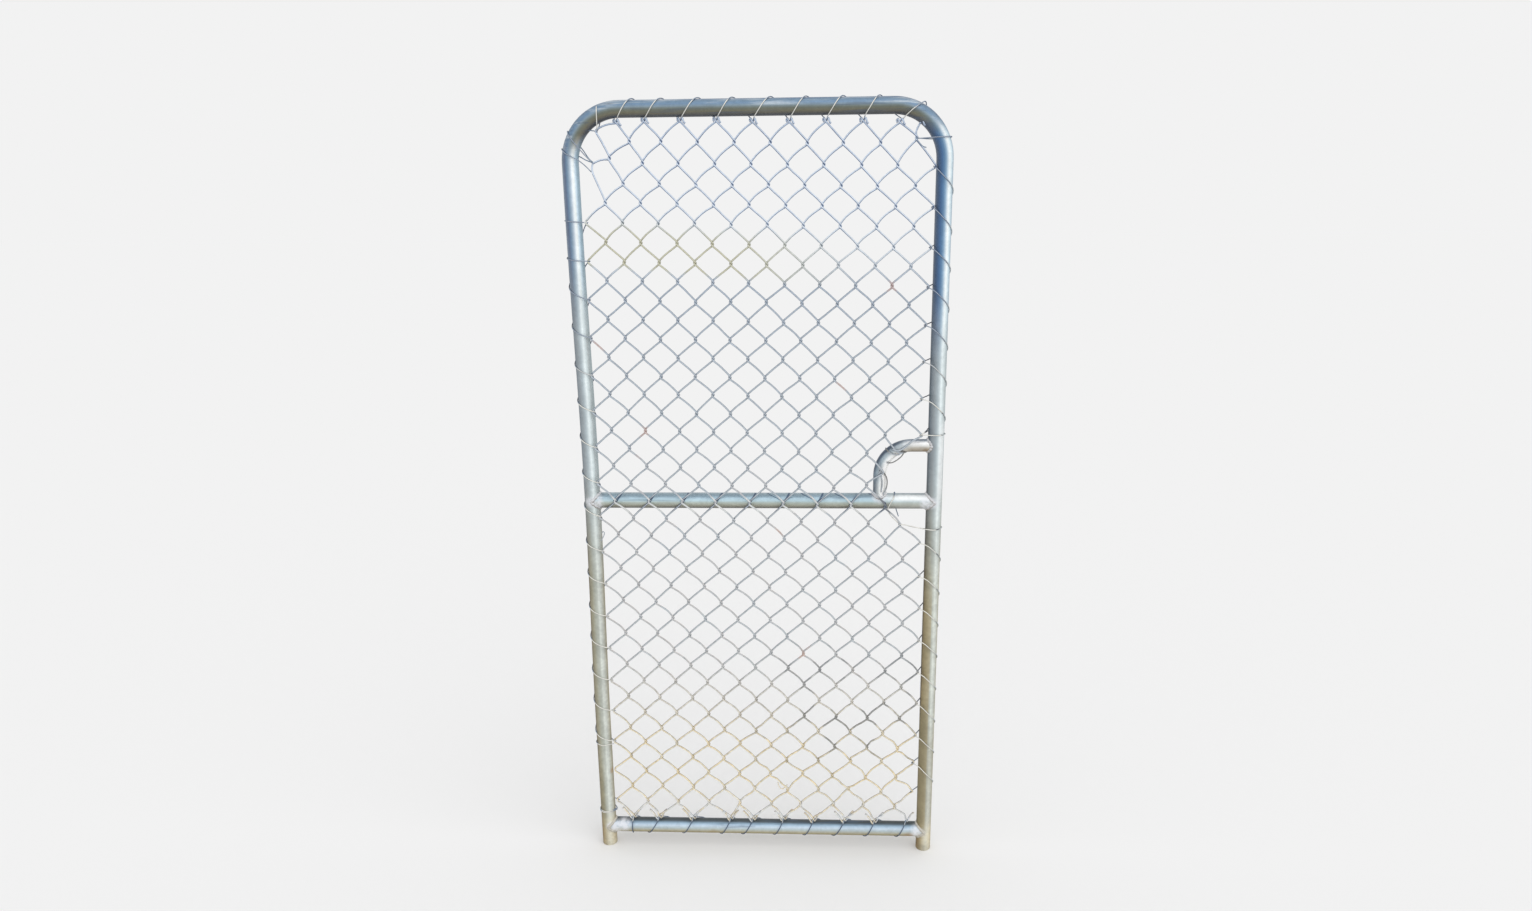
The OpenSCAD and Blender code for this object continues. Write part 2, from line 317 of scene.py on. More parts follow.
def set_finish(material, colour, roughness, height=None, depth=ZINC_RELIEF):
    """Connects a material's colour, its roughness and, where it has one, its relief."""
    tree = material.node_tree
    shader = tree.nodes["Principled BSDF"]
    tree.links.new(colour.socket, shader.inputs["Base Color"])
    tree.links.new(roughness.socket, shader.inputs["Roughness"])
    if height is not None:
        bump = height.make("ShaderNodeBump", {}, {"Height": height, "Distance": depth})
        tree.links.new(bump.socket, shader.inputs["Normal"])


print("the zinc's relief is", ZINC_RELIEF / MM, "mm deep")

# %% [markdown]
# ## Light, floor and background
#
# The leaf stands on a plain pale floor in an even white surround. A broad sun lamp from the upper
# right gives the wires a soft shadow on the tubes behind them. Floor and surround are set to the
# same pale grey, so that the floor has no edge. The grey is only shown to rays that look at the
# surround, straight or in a reflection: the light on the gate stays white.

# %% Surround
PALE = 0.888
SURROUND = 0.82

world = bpy.data.worlds.new("surround")
world.use_nodes = True
bpy.context.scene.world = world
background = world.node_tree.nodes["Background"]
background.inputs["Color"].default_value = (1, 1, 1, 1)
background.inputs["Strength"].default_value = SURROUND
white = Shade(world.node_tree, background.outputs[0])
looks = white.make("ShaderNodeLightPath", {}, {}, "Is Camera Ray")
for kind in ("Is Glossy Ray", "Is Transmission Ray"):
    looks = looks.at_least(white.make("ShaderNodeLightPath", {}, {}, kind))
grey = white.make("ShaderNodeBackground", {}, {"Color": (PALE, PALE, PALE)})
surround = white.make("ShaderNodeMixShader", {}, {0: looks, 1: white, 2: grey})
world.node_tree.links.new(surround.socket, world.node_tree.nodes["World Output"].inputs["Surface"])
bpy.context.scene.view_settings.view_transform = "Standard"
print("surround strength", SURROUND)

# %% Sun
SUN_FROM = Vector((0.38, -0.52, 0.76)).normalized()
SUN_STRENGTH = (1 - SURROUND) * math.pi / SUN_FROM.z
SUN_WIDTH = 60

sun_data = bpy.data.lights.new("sun", "SUN")
sun_data.energy = SUN_STRENGTH
sun_data.angle = math.radians(SUN_WIDTH)
sun = bpy.data.objects.new("sun", sun_data)
sun.rotation_euler = SUN_FROM.to_track_quat("Z", "Y").to_euler()
bpy.context.scene.collection.objects.link(sun)
print("sun strength", round(SUN_STRENGTH, 2))

# %% Floor
FLOOR_REACH = 20

floor_mesh = bpy.data.meshes.new("floor")
corners = [(x * FLOOR_REACH, y * FLOOR_REACH, 0) for x, y in ((-1, -1), (1, -1), (1, 1), (-1, 1))]
floor_mesh.from_pydata(corners, [], [(0, 1, 2, 3)])
floor = bpy.data.objects.new("floor", floor_mesh)
bpy.context.scene.collection.objects.link(floor)
floor_material = bpy.data.materials.new("floor")
floor_material.use_nodes = True
floor_shader = floor_material.node_tree.nodes["Principled BSDF"]
floor_shader.inputs["Base Color"].default_value = (PALE, PALE, PALE, 1)
floor_shader.inputs["Roughness"].default_value = 1
floor_shader.inputs["Specular IOR Level"].default_value = 0
floor_mesh.materials.append(floor_material)
floor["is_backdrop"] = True
print("floor is", FLOOR_REACH * 2, "m wide")

# %% [markdown]
# ## Galvanised tube
#
# Hot-dipped tube that has stood outside for years. Its light and shade are painted into its colour:
# the side that faces the sky has a cool blue-grey painted reflection of the sky, the underside has a
# dull, slightly brown painted shade, and one broad streak along each stile is a painted highlight.
# Towards the ground the zinc goes matte and beige. A picture wrapped round the tube would need
# unwrapping. A ramp needs nothing: it gives a colour to each way that the surface faces, from -1 on
# the left or below to 1 on the right or above.

# %% Colours round the bent tube
# Painted light and shade: highlight, shade and sky and ground reflections for each way the tube faces
HINGE_HIGH = [
    (-1.0, (120, 134, 150)), (-0.78, (112, 127, 146)), (-0.53, (93, 108, 134)),
    (-0.3, (106, 132, 160)), (-0.08, (139, 162, 182)), (0.12, (182, 198, 213)),
    (0.34, (244, 251, 254)), (0.5, (245, 252, 252)), (0.68, (207, 227, 241)),
    (0.84, (157, 183, 198)), (1.0, (142, 165, 178)),
]
LATCH_HIGH = [
    (-1.0, (86, 98, 116)), (-0.88, (74, 92, 116)), (-0.64, (64, 92, 128)),
    (-0.4, (68, 106, 150)), (-0.12, (98, 136, 172)), (0.1, (148, 178, 204)),
    (0.28, (212, 226, 235)), (0.46, (248, 254, 255)), (0.66, (222, 238, 244)),
    (0.84, (182, 202, 214)), (1.0, (140, 162, 178)),
]
STILE_MID = [
    (-1.0, (58, 74, 88)), (-0.9, (84, 98, 108)), (-0.78, (128, 138, 146)),
    (-0.45, (151, 160, 165)), (-0.12, (172, 184, 190)), (0.1, (198, 210, 214)),
    (0.33, (236, 246, 248)), (0.55, (212, 224, 226)), (0.75, (190, 199, 200)),
    (1.0, (154, 168, 171)),
]
STILE_LOW = [
    (-1.0, (78, 66, 48)), (-0.88, (122, 112, 84)), (-0.7, (150, 145, 124)),
    (-0.45, (168, 165, 144)), (-0.1, (180, 183, 171)), (0.18, (192, 196, 187)),
    (0.38, (218, 223, 215)), (0.62, (206, 210, 203)), (0.88, (186, 186, 172)),
    (1.0, (158, 150, 126)),
]
STILE_FOOT = [
    (-1.0, (110, 94, 64)), (-0.75, (160, 140, 102)), (-0.4, (190, 178, 146)),
    (-0.05, (212, 206, 184)), (0.25, (224, 220, 202)), (0.5, (222, 216, 194)),
    (0.8, (206, 196, 168)), (1.0, (176, 162, 132)),
]
TOP_RAIL = [
    (-1.0, (30, 34, 44)), (-0.84, (62, 66, 72)), (-0.7, (90, 88, 82)),
    (-0.45, (110, 108, 90)), (-0.15, (106, 112, 102)), (0.03, (118, 130, 130)),
    (0.2, (128, 148, 162)), (0.45, (110, 138, 166)), (0.72, (114, 140, 163)),
    (0.9, (102, 126, 152)), (1.0, (84, 102, 130)),
]
print("stops round the bent tube:", len(HINGE_HIGH), "high up and", len(STILE_FOOT), "at its feet")

# %% [markdown]
# ## Wear, weld spray and stains
#
# Zinc sets in crystals, which show as a faint spangle, and drawing the tube left fine streaks
# along it. Handling and dust add small dull patches and a finer grain. One strong noise would look
# like marble, so each of these is a weak layer of its own. Where the welds burnt the zinc off,
# the tube was sprayed with pale zinc paint, ragged at its edge. Single soft stains come last.


# %% Layers over a colour
def worn(place, colour, streak, amount=0.34, mottle=0.30):
    """Spangle, dull patches, drawn streaks and grain over a colour."""
    spangle = place.cells(130) * 0.10 + 0.95
    patches = (place.noise(26, 4) - 0.5) * mottle + 1
    lines = streak.noise(24, 4, 0.7) * amount + (1 - amount / 2)
    grain = (place.noise(130, 3) - 0.5) * (mottle - 0.12) * 0.8 + 1
    return colour.scaled(spangle * patches * lines * grain)


def sprayed(place, colour, spots, size):
    """A colour with a pale sprayed patch of a size at each of some places, in millimetres."""
    ragged = place.noise(150, 3).step(0.30, 0.60)
    for spot in spots:
        patch = place.near(spot, size, size * 0.35) * (ragged * 0.5 + 0.35)
        colour = patch.mix(colour, srgb(236, 238, 244))
    return colour


def stained(place, colour, spot, size, stain, strength=0.7):
    """A colour with one soft round stain on it, of a size in millimetres."""
    return (place.near(spot, size, size * 0.4) * strength).mix(colour, srgb(*stain))


def outwardness(place, facing):
    """1 on the outer side of the bent frame tube, all the way round it, and -1 on its inner side."""
    across = place.x - GATE_WIDTH / 2 * MM
    out_x = (abs(across) - (GATE_WIDTH / 2 - CORNER_RADIUS) * MM).at_least(0)
    out_z = (place.z - CORNER_Z * MM).at_least(0)
    length = (out_x * out_x + out_z * out_z) ** 0.5
    return (across.sign() * facing.x * out_x + facing.z * out_z) / length


print("outward is measured from", CORNER_RADIUS, "mm inside each corner")

# %% [markdown]
# ## The stiles' finish
#
# Both stiles start with a ramp of their own at the top and share the rest: a middle one, a low one
# and one for the feet, each reached at its own height. The ramps paint the tubes' light and shade.
# Over them, the latch stile's painted highlight is brighter beside the hand hole, and its left side is
# golden below it. Both stiles have a brown painted shade on the left, a little above their feet.

# %% Stile colours
hoop_finish, place, facing = new_finish("galvanised_hoop", TUBE_METALLIC)
height = place.z
side = facing.x
right = place.x.step(0.36, 0.38)
outward = outwardness(place, facing)
stile = right.mix(side.ramp(HINGE_HIGH), outward.ramp(LATCH_HIGH))
low = height.step(0.98, 0.62)
# The middle ramp is reached 80 mm further down on the hinge stile than on the latch stile
for reached, stops in (
    ((height + (1 - right) * -0.08).step(1.34, 1.12), STILE_MID),
    (low, STILE_LOW),
    (height.step(0.11, 0.03), STILE_FOOT),
):
    stile = reached.mix(stile, side.ramp(stops))
# A brighter painted highlight on the latch stile beside the hand hole
hole_side_highlight = right * height.band(0.84, 0.89, 1.00, 1.05) * side.band(0.25, 0.50, 0.80, 0.95)
stile = (hole_side_highlight * 0.6).mix(stile, srgb(246, 248, 248))
# The left side of the lower latch stile is golden
golden = right * height.band(0.04, 0.08, 0.56, 0.74) * side.band(-0.98, -0.84, -0.04, 0.14)
stile = (golden * 0.6).mix(stile, srgb(166, 148, 106))
# A brown painted shade on the stiles' left sides, a little above their feet
left_side_shade = (height - right * 0.16).step(0.25, 0.16) * height.step(0.05, 0.09)
stile = (left_side_shade * side.step(0.10, -0.40) * 0.55).mix(stile, srgb(138, 130, 100))
print("stile finish has", len(hoop_finish.node_tree.nodes), "nodes")

# %% [markdown]
# ## The top rail's finish
#
# The top rail is the same tube, but its painted light and shade lie above and below. Long pale scuffs
# lie on it where wires and hands have been dragged along, with darker marks among them. Both are
# noise that has been stretched along the rail. At the corners this finish gives way to the stiles'.

# %% Top rail colours
# Painted light and shade of the top rail, by the way it faces
rail = outward.ramp(TOP_RAIL)
scuffs = place.stretched(0.10, 1, 1.6).noise(60, 4).step(0.50, 0.66)
rail = (scuffs * outward.step(0.05, 0.35) * 0.5).mix(rail, srgb(214, 222, 226))
dark_marks = place.stretched(0.07, 1, 1.4).noise(90, 3).step(0.54, 0.68)
rail = (dark_marks * 0.45).mix(rail, srgb(70, 84, 106))
on_top = (height - right * 0.030).step(1.566, 1.620)
painted = on_top.mix(stile, rail)
streaks = on_top.mix(place.stretched(1, 1, 0.09), place.stretched(0.09, 1, 1))
painted = worn(place, painted, streaks, low * 0.20 + 0.30, low * 0.35 + 0.30)
painted = sprayed(place, painted, [(6, -10, MID_Z), (GATE_WIDTH - 4, -10, MID_Z)], 18)
painted = sprayed(place, painted, [(6, -12, BOTTOM_Z + 4), (GATE_WIDTH - 8, -12, BOTTOM_Z)], 15)
painted = stained(place, painted, (17, -6, 196), 10, (176, 132, 74), 0.45)
painted = stained(place, painted, (GATE_WIDTH, -12, 190), 170, (146, 136, 108), 0.35)
roughness = 0.34 + low * 0.22 + place.noise(40) * 0.14
set_finish(hoop_finish, painted, roughness, place.noise(300, 2))
print("the bent tube's finish has", len(hoop_finish.node_tree.nodes), "nodes")

# %% [markdown]
# ## The rails' finish
#
# Both rails' light and shade are painted in, by the way they face. The mid rail is pale and the
# bottom rail darker and browner, with a dark painted shade along its top edge where the mesh shades
# it. The mid rail's end under the hand hole is painted paler, with a painted highlight on its upper
# front. The mesh's shadows are painted on the mid rail beside each of its bends: steep ones towards
# the hinge stile and curved ones towards the latch stile. They repeat with the mesh, so each is drawn
# as a distance from the nearest of many lines, which is less work than a shadow at a time.

# %% Rail colours
MID_RAIL = [
    (-1.0, (48, 50, 54)), (-0.85, (66, 68, 68)), (-0.62, (132, 131, 120)),
    (-0.3, (166, 168, 154)), (0.0, (176, 187, 180)), (0.26, (190, 216, 226)),
    (0.5, (182, 208, 222)), (0.74, (150, 174, 188)), (0.92, (146, 166, 176)),
    (1.0, (160, 176, 184)),
]
LOW_RAIL = [
    (-1.0, (116, 104, 72)), (-0.6, (146, 134, 96)), (-0.32, (176, 169, 140)),
    (-0.1, (186, 188, 176)), (0.16, (186, 201, 206)), (0.42, (202, 219, 234)),
    (0.62, (172, 196, 216)), (0.78, (132, 156, 176)), (0.92, (82, 94, 102)),
    (1.0, (66, 72, 74)),
]

rail_finish, place, facing = new_finish("galvanised_rail", TUBE_METALLIC)
along, height, above = place.x, place.z, facing.z
down = height.step(0.30, 0.12)
# Painted light and shade of each rail, by the way it faces
rail = down.mix(above.ramp(MID_RAIL), above.ramp(LOW_RAIL))
# The mid rail's end under the hand hole: painted paler, with a painted highlight on its upper front
pale_end = along.step(0.60, 0.68) * (1 - down)
rail = (pale_end * 0.4).mix(rail, srgb(196, 199, 196))
rail = (pale_end * above.band(0.05, 0.50, 0.80, 1.0) * 0.85).mix(rail, srgb(250, 253, 253))
dark_marks = place.stretched(0.08, 1, 1.4).noise(80, 4).step(0.55, 0.68)
dark_marks = dark_marks * above.step(0.0, 0.3) * (down * 0.2 + 0.35)
rail = dark_marks.mix(rail, srgb(74, 98, 124))
rail = worn(place, rail, place.stretched(0.09, 1, 1), 0.36)
print("rail ramps have", len(MID_RAIL), "and", len(LOW_RAIL), "stops")

# %% Painted shadows of the mesh, and the welds' spray
SHADOW_STEP = 0.0723
SHADOW_START = 0.0586

# Painted shadows of the mesh's strands on the mid rail's front, steep and curved
climb = (height - MID_Z * MM) / (TUBE_R * MM)
front = facing.y.step(0.2, -0.1) * climb.step(-0.30, -0.10)
steep = (along - SHADOW_START - climb * 0.012).wrapped(SHADOW_STEP)
curved = (along - SHADOW_START + climb.at_least(0) ** 1.6 * 0.034).wrapped(SHADOW_STEP)
mesh_shadows = (steep.step(0.0030, 0.0012) * along.step(0.62, 0.52)).at_least(
    curved.step(0.0026, 0.0010) * along.step(0.25, 0.45)
)
mesh_shadows = mesh_shadows * front * (1 - down) * along.step(0.68, 0.66)
rail = (mesh_shadows * 0.85).mix(rail, srgb(44, 68, 104))
welds = [(x, -9, z) for x in (17, 725) for z in (MID_Z, BOTTOM_Z)] + [(HOLE_X, -9, MID_Z + 14)]
rail = sprayed(place, rail, welds + [(38, -10, BOTTOM_Z + 6)], 22)
rail = stained(place, rail, (706, -10, 38), 16, (150, 116, 84), 0.5)
rail = stained(place, rail, (250, -8, 36), 20, (158, 138, 92), 0.5)
set_finish(rail_finish, rail, 0.32 + place.noise(40) * 0.2, place.noise(300, 2))
print("marks every", SHADOW_STEP / MM, "mm")

# %% [markdown]
# ## The finish of the tube round the hand hole
#
# This tube's light and shade are painted in, and most of it is a near-white painted highlight. The
# outer side of its bend, which the mesh covers, has a painted blue reflection and, furthest out, a
# dark painted shade. Its upright leg is lit from the side and its level leg from above, so it has a
# ramp for each, and they change places in the bend.

# %% Hand hole tube colours
# Painted light and shade of the upright leg and the level leg, by the way they face
HOLE_STILE = [
    (-1.0, (84, 94, 106)), (-0.85, (112, 122, 132)), (-0.6, (158, 166, 172)),
    (-0.3, (194, 200, 202)), (0.0, (250, 253, 252)), (0.35, (255, 255, 255)),
    (0.7, (246, 246, 244)), (1.0, (224, 224, 220)),
]
HOLE_RAIL = [
    (-1.0, (112, 102, 90)), (-0.5, (172, 162, 146)), (-0.1, (196, 191, 180)),
    (0.2, (236, 237, 234)), (0.6, (255, 255, 255)), (0.8, (222, 226, 230)),
    (0.93, (140, 152, 166)), (1.0, (112, 124, 140)),
]

hole_finish, place, facing = new_finish("hand_hole_tube", TUBE_METALLIC)
level_leg = place.x.step(0.642, 0.694)
painted = level_leg.mix(facing.x.ramp(HOLE_STILE), facing.z.ramp(HOLE_RAIL))
in_bend = place.near((636, -8, 952), 68, 40)
outer_side = (facing.z - facing.x) * 0.71
# The bend's outer side: a painted blue reflection, and a dark painted shade furthest out
painted = (in_bend * outer_side.step(-0.5, 0.4) * 0.6).mix(painted, srgb(142, 164, 178))
painted = (in_bend * outer_side.step(0.52, 0.86) * 0.85).mix(painted, srgb(44, 60, 84))
painted = worn(place, painted, place.stretched(1, 1, 0.2))
painted = stained(place, painted, (721, -10, 968), 11, (150, 128, 100))
set_finish(hole_finish, painted, 0.3 + place.noise(40) * 0.2, place.noise(300, 2))

for node, finish in (
    ("mid_rail", rail_finish),
    ("bottom_rail", rail_finish),
    ("hand_hole_bend", hole_finish),
):
    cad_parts[node].material_slots[0].material = finish
print("tube finishes:", hoop_finish.name, rail_finish.name, hole_finish.name)

# %% [markdown]
# ## The mesh wire's finish
#
# The mesh wire is galvanised too, and dull. Its light and shade are painted in: a dark and a pale
# colour by height, the pale one on the upper side under the top rail and on the front further down.
# Under the top rail it is cool and pale. Through the middle it is darker with a painted pale front.
# The strands that fall to the right are painted darker under the top rail and lighter in the lower
# half, where they have patches of a warm painted highlight. Near the ground it is stained the
# colour of straw, with black smuts towards the latch side. A slanting band a third of the way down,
# on the hinge side, has gone the colour of dry grass, and a few bends have rusted. In front of the
# mid rail the strands that fall to the right are painted pale, lit, and the others dark, painted
# shade, and under the hand hole all of them are dark. Close to the hand hole tube's bend the strands
# that lie back have a dark painted shade. Each picket could have a material of its own, but all of
# these are masks of height, side and facing, so one material serves them all.

# %% Mesh wire's dark and pale sides
# By height above the mid rail, in metres: the wire's painted shade and its painted light
WIRE_DARK = [
    (-0.79, (112, 124, 142)), (-0.70, (142, 136, 120)), (-0.56, (128, 124, 110)),
    (-0.42, (96, 102, 108)), (0.10, (92, 104, 118)), (0.42, (78, 90, 110)),
    (0.485, (92, 108, 128)), (0.52, (122, 136, 152)), (0.60, (96, 120, 156)),
    (0.80, (64, 84, 122)),
]
WIRE_PALE = [
    (-0.79, (222, 228, 234)), (-0.68, (236, 224, 194)), (-0.50, (218, 212, 198)),
    (-0.36, (188, 194, 198)), (0.30, (180, 190, 200)), (0.46, (172, 184, 198)),
    (0.53, (226, 234, 242)), (0.80, (212, 226, 244)),
]

wire_finish, place, facing = new_finish("mesh_wire", WIRE_METALLIC)
level = place.z - MID_Z * MM
top_part = level.step(0.46, 0.56)
upper_side = facing.z.step(-0.60, 0.15)
front_side = facing.y.step(-0.25, -0.85)
# Painted light: the pale colour on the upper side under the top rail and on the front lower down
shine = top_part * upper_side + (1 - top_part) * front_side
slope = facing.x * facing.z
falling = slope.step(-0.10, 0.25)
lower_half = level.band(-0.55, -0.40, -0.05, 0.20)
# Painted light on strands that fall to the right: darker under the top rail, lighter in the lower half
shine = shine + falling * (lower_half * 0.45 - top_part * 0.22)
wire = shine.mix(level.ramp(WIRE_DARK), level.ramp(WIRE_PALE))
print("wire ramps have", len(WIRE_DARK), "and", len(WIRE_PALE), "stops")

# %% Stains on the mesh wire
# Patches of a warm painted highlight on the strands that fall to the right, in the lower half
warm_highlight = falling * lower_half * place.noise(30, 2).step(0.35, 0.60)
wire = (warm_highlight * 0.6).mix(wire, srgb(206, 194, 186))
straw = level.step(-0.48, -0.60) * place.noise(45, 3).step(0.42, 0.60)
wire = (straw * 0.6).mix(wire, shine.mix(srgb(172, 142, 90), srgb(240, 222, 178)))
smut = level.band(-0.68, -0.56, -0.40, -0.28) * place.noise(16, 2).step(0.49, 0.60)
smut = smut * place.x.step(0.28, 0.52)
wire = (smut * 0.75).mix(wire, shine.mix(srgb(50, 56, 66), srgb(130, 134, 138)))
# In front of the mid rail: painted light on strands that fall to the right, painted shade on the others
over_rail = level.band(-0.024, -0.016, 0.011, 0.019)
crossing = place.x.step(0.57, 0.60).mix(srgb(226, 228, 226), srgb(74, 78, 86))
wire = (over_rail * 0.7).mix(wire, slope.step(0.02, -0.10).mix(crossing, srgb(60, 80, 112)))
grassy = (level + place.x * 0.09).band(0.500, 0.515, 0.57, 0.62) * place.x.step(0.60, 0.30)
wire = (grassy * 0.8).mix(wire, front_side.mix(srgb(126, 124, 92), srgb(200, 195, 162)))
# Painted shade on the strands that lie back close to the hand hole tube's bend
hole_shade = place.near((652, -12, 935), 62, 40) * place.y.step(-0.0165, -0.0145)
wire = (hole_shade * 0.9).mix(wire, shine.mix(srgb(48, 52, 60), srgb(132, 130, 126)))
print("wire finish has", len(wire_finish.node_tree.nodes), "nodes")

# %% Rust on single bends
# Each is x, z and a size
RUST_SPOTS = [
    (36, 1193, 16), (126, 1013, 14), (106, 953, 12), (541, 1110, 14), (641, 1313, 14),
    (406, 788, 14), (380, 770, 12), (466, 523, 12), (456, 500, 12),
]

for x, z, size in RUST_SPOTS:
    rusty = place.near((x, -16, z), size * 1.3, size * 0.5)
    wire = (rusty * 0.45).mix(wire, srgb(214, 160, 132))
wire = (level.step(0.757, 0.767) * 0.4).mix(wire, srgb(186, 202, 224))
speckle = level.step(-0.20, -0.50) * 0.7 + 0.5
wire = wire.scaled((place.noise(130, 3) - 0.5) * speckle + 1)
set_finish(wire_finish, wire, 0.42 + place.noise(90) * 0.2)
print(len(RUST_SPOTS), "rust spots")

# %% [markdown]
# ## The lacing wire's finish
#
# The lacing wire is softer and brighter than the mesh. Its light and shade are painted in: nearly
# white, painted light, where it passes over the front of a tube, and dark, painted shade, where it
# goes behind, so how far to the front it lies sets its colour. On the front of the bottom rail it
# has a dark painted shade too. High on both stiles it is darker. The short ends that go back from
# the mesh beside the latch stile have a nearly black painted shade, and so has the outer edge of the
# hinge stile's turns. On the latch stile's outer edge it is painted pale, as light as the lit tube.

# %% Lacing colours
lace_finish, place, facing = new_finish("lacing_wire", WIRE_METALLIC)
in_front = place.y.step(-0.009, -0.015) * place.z.step(0.064, 0.069)
# Painted light and shade: a lit and a shaded copy of the lacing's colour
shine = facing.y.step(-0.2, -0.9) * 0.6 + facing.z.step(-0.5, 0.7) * 0.4
lit = shine.mix(srgb(148, 150, 146), srgb(246, 244, 236))
shaded = shine.mix(srgb(66, 84, 112), srgb(150, 168, 188))
# Painted shade on the lacing where it crosses the front of the bottom rail
low_rail_shade = place.z.step(0.069, 0.064) * facing.y.step(-0.2, -0.6)
shaded = (low_rail_shade * 0.7).mix(shaded, srgb(40, 54, 84))
# High on both stiles the lit colour is mixed towards a darker one
darker_high = place.x.step(0.05, 0.03).at_least(place.x.step(0.675, 0.690))
darker_high = darker_high * place.z.step(1.05, 1.25)
lit = (darker_high * 0.85).mix(lit, shine.mix(srgb(48, 66, 100), srgb(140, 156, 178)))
# The mesh's own depth, which is greatest at the mid rail
woven_y = abs(place.z - MID_Z * MM) * 0.018 - 0.0202
# Painted shade: the short ends that go back behind the mesh beside the latch stile, nearly black
stub_shade = place.x.step(0.680, 0.690) * (place.y - woven_y).step(-0.0005, 0.0015)
stub_shade = stub_shade * place.z.band(0.24, 0.32, 1.30, 1.42)
lace = (stub_shade * 0.85).mix(in_front.mix(shaded, lit), srgb(44, 52, 68))
# Painted shade on the outer edge of the hinge stile's turns
edge_shade = place.x.step(-0.0080, -0.0125) * place.y.step(-0.010, -0.004)
lace = (edge_shade * 0.8).mix(lace, srgb(44, 48, 58))
# Painted light: the lacing on the latch stile's outer edge is as pale as the lit tube there
lace = (place.x.step(0.750, 0.757) * 0.8).mix(lace, srgb(196, 201, 201))
lace = lace.scaled(place.noise(120, 2) * 0.4 + 0.8)
set_finish(lace_finish, lace, 0.4 + place.noise(90) * 0.2)
print("lacing finish has", len(lace_finish.node_tree.nodes), "nodes")

# %% [markdown]
# ## The weld beads' finish
#
# A bead is rough and a little darker than the zinc paint over it, with a painted shade underneath,
# and browner on the bottom rail. Its ripples are part of its shape, so the relief here is only the
# fine one.

# %% Bead colours
WELD_RELIEF = 0.0004

weld_finish, place, facing = new_finish("weld", WIRE_METALLIC)
# Painted shade: the bead is darker where it faces down
bead = facing.z.step(-0.9, 0.4).mix(srgb(156, 150, 142), srgb(212, 213, 216))
bead = (place.z.step(0.2, 0.1) * 0.6).mix(bead, srgb(190, 182, 160))
bead = bead.scaled(place.noise(160, 3) * 0.4 + 0.8)
set_finish(weld_finish, bead, 0.36 + place.noise(90) * 0.2, place.noise(420, 2), WELD_RELIEF)

finishes = {
    "galvanised_tube": hoop_finish,
    "mesh_wire": wire_finish,
    "lacing_wire": lace_finish,
    "weld": weld_finish,
}
print("finishes for new pieces:", ", ".join(sorted(finishes)))

# %% [markdown]
# ## Drawing a wire
#
# Every wire on the gate is the same thing: a round section drawn along a path. A curve with a round
# bevel would do it too, but as a mesh the number of sides and the closed ends are chosen here. The
# paths are written as a few places that the wire goes through, and a smooth curve is run through
# them. The section is carried along the path without twisting.


# %% Paths and rings
def smooth(points, parts=5):
    """A smooth curve through some places, with a number of parts between one and the next."""
    points = np.asarray(points, float)
    ends = np.vstack((2 * points[0] - points[1], points, 2 * points[-1] - points[-2]))
    t = np.linspace(0, 1, parts, endpoint=False)[:, None]
    curve = []
    for a, b, c, d in zip(ends, ends[1:], ends[2:], ends[3:]):
        bend = 2 * b + (c - a) * t + (2 * a - 5 * b + 4 * c - d) * t**2
        curve.append(0.5 * (bend + (3 * b - a - 3 * c + d) * t**3))
    return np.vstack(curve + [points[-1:]])


def unit(vectors):
    return vectors / np.linalg.norm(vectors, axis=-1, keepdims=True)


# A way that no wire starts out in
START_AXIS = (0.31, 0.52, 0.8)


def rings(path, radius, sides, up=None):
    """The rings of points round a path. Without a way up, each ring follows on from the last."""
    ahead = unit(np.gradient(path, axis=0))
    axis = np.array(START_AXIS if up is None else up, float)
    turns = np.linspace(0, 2 * math.pi, sides, endpoint=False)
    found = []
    for i, tangent in enumerate(ahead):
        base = axis if up is None else np.array(up, float)
        axis = unit(base - base.dot(tangent) * tangent)
        other = np.cross(tangent, axis)
        size = radius[i] if np.ndim(radius) else radius
        found.append(path[i] + size * (np.outer(np.cos(turns), axis) + np.outer(np.sin(turns), other)))
    return np.array(found)


def skin(count, sides, start=0, closed=False):
    """The faces between one ring of points and the next, for a count of rings."""
    faces = []
    for ring in range(count if closed else count - 1):
        here = start + ring * sides
        there = start + (ring + 1) % count * sides
        for s in range(sides):
            t = (s + 1) % sides
            faces.append((here + s, here + t, there + t, there + s))
    return faces


print("four rings of eight points have", len(skin(4, 8)), "faces between them")

# %% Pieces and wires
LACE_WIRE = 2.1
LACE_SIDES = 8


def new_piece(name, nodes, points, faces, slot):
    """A piece of the gate, from points in millimetres, which stands for some nodes of the CAD."""
    mesh = bpy.data.meshes.new(name)
    mesh.from_pydata([tuple(p * MM) for p in points], [], faces)
    mesh.shade_smooth()
    mesh.materials.append(finishes[slot])
    piece = bpy.data.objects.new(name, mesh)
    bpy.context.scene.collection.objects.link(piece)
    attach(piece, "root")
    if nodes:
        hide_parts(*nodes)


def wire_piece(name, nodes, paths, slot="lacing_wire", diameter=LACE_WIRE, sides=LACE_SIDES):
    """One piece made of round wires along some paths, with closed ends."""
    points, faces = [], []
    for path in paths:
        start = len(points)
        points.extend(rings(np.asarray(path, float), diameter / 2, sides).reshape(-1, 3))
        faces += skin(len(path), sides, start)
        last = len(points) - sides
        faces.append(tuple(start + s for s in reversed(range(sides))))
        faces.append(tuple(last + s for s in range(sides)))
    new_piece(name, nodes, points, faces, slot)


print("a lacing wire is", LACE_WIRE, "mm thick and has", LACE_SIDES, "sides")

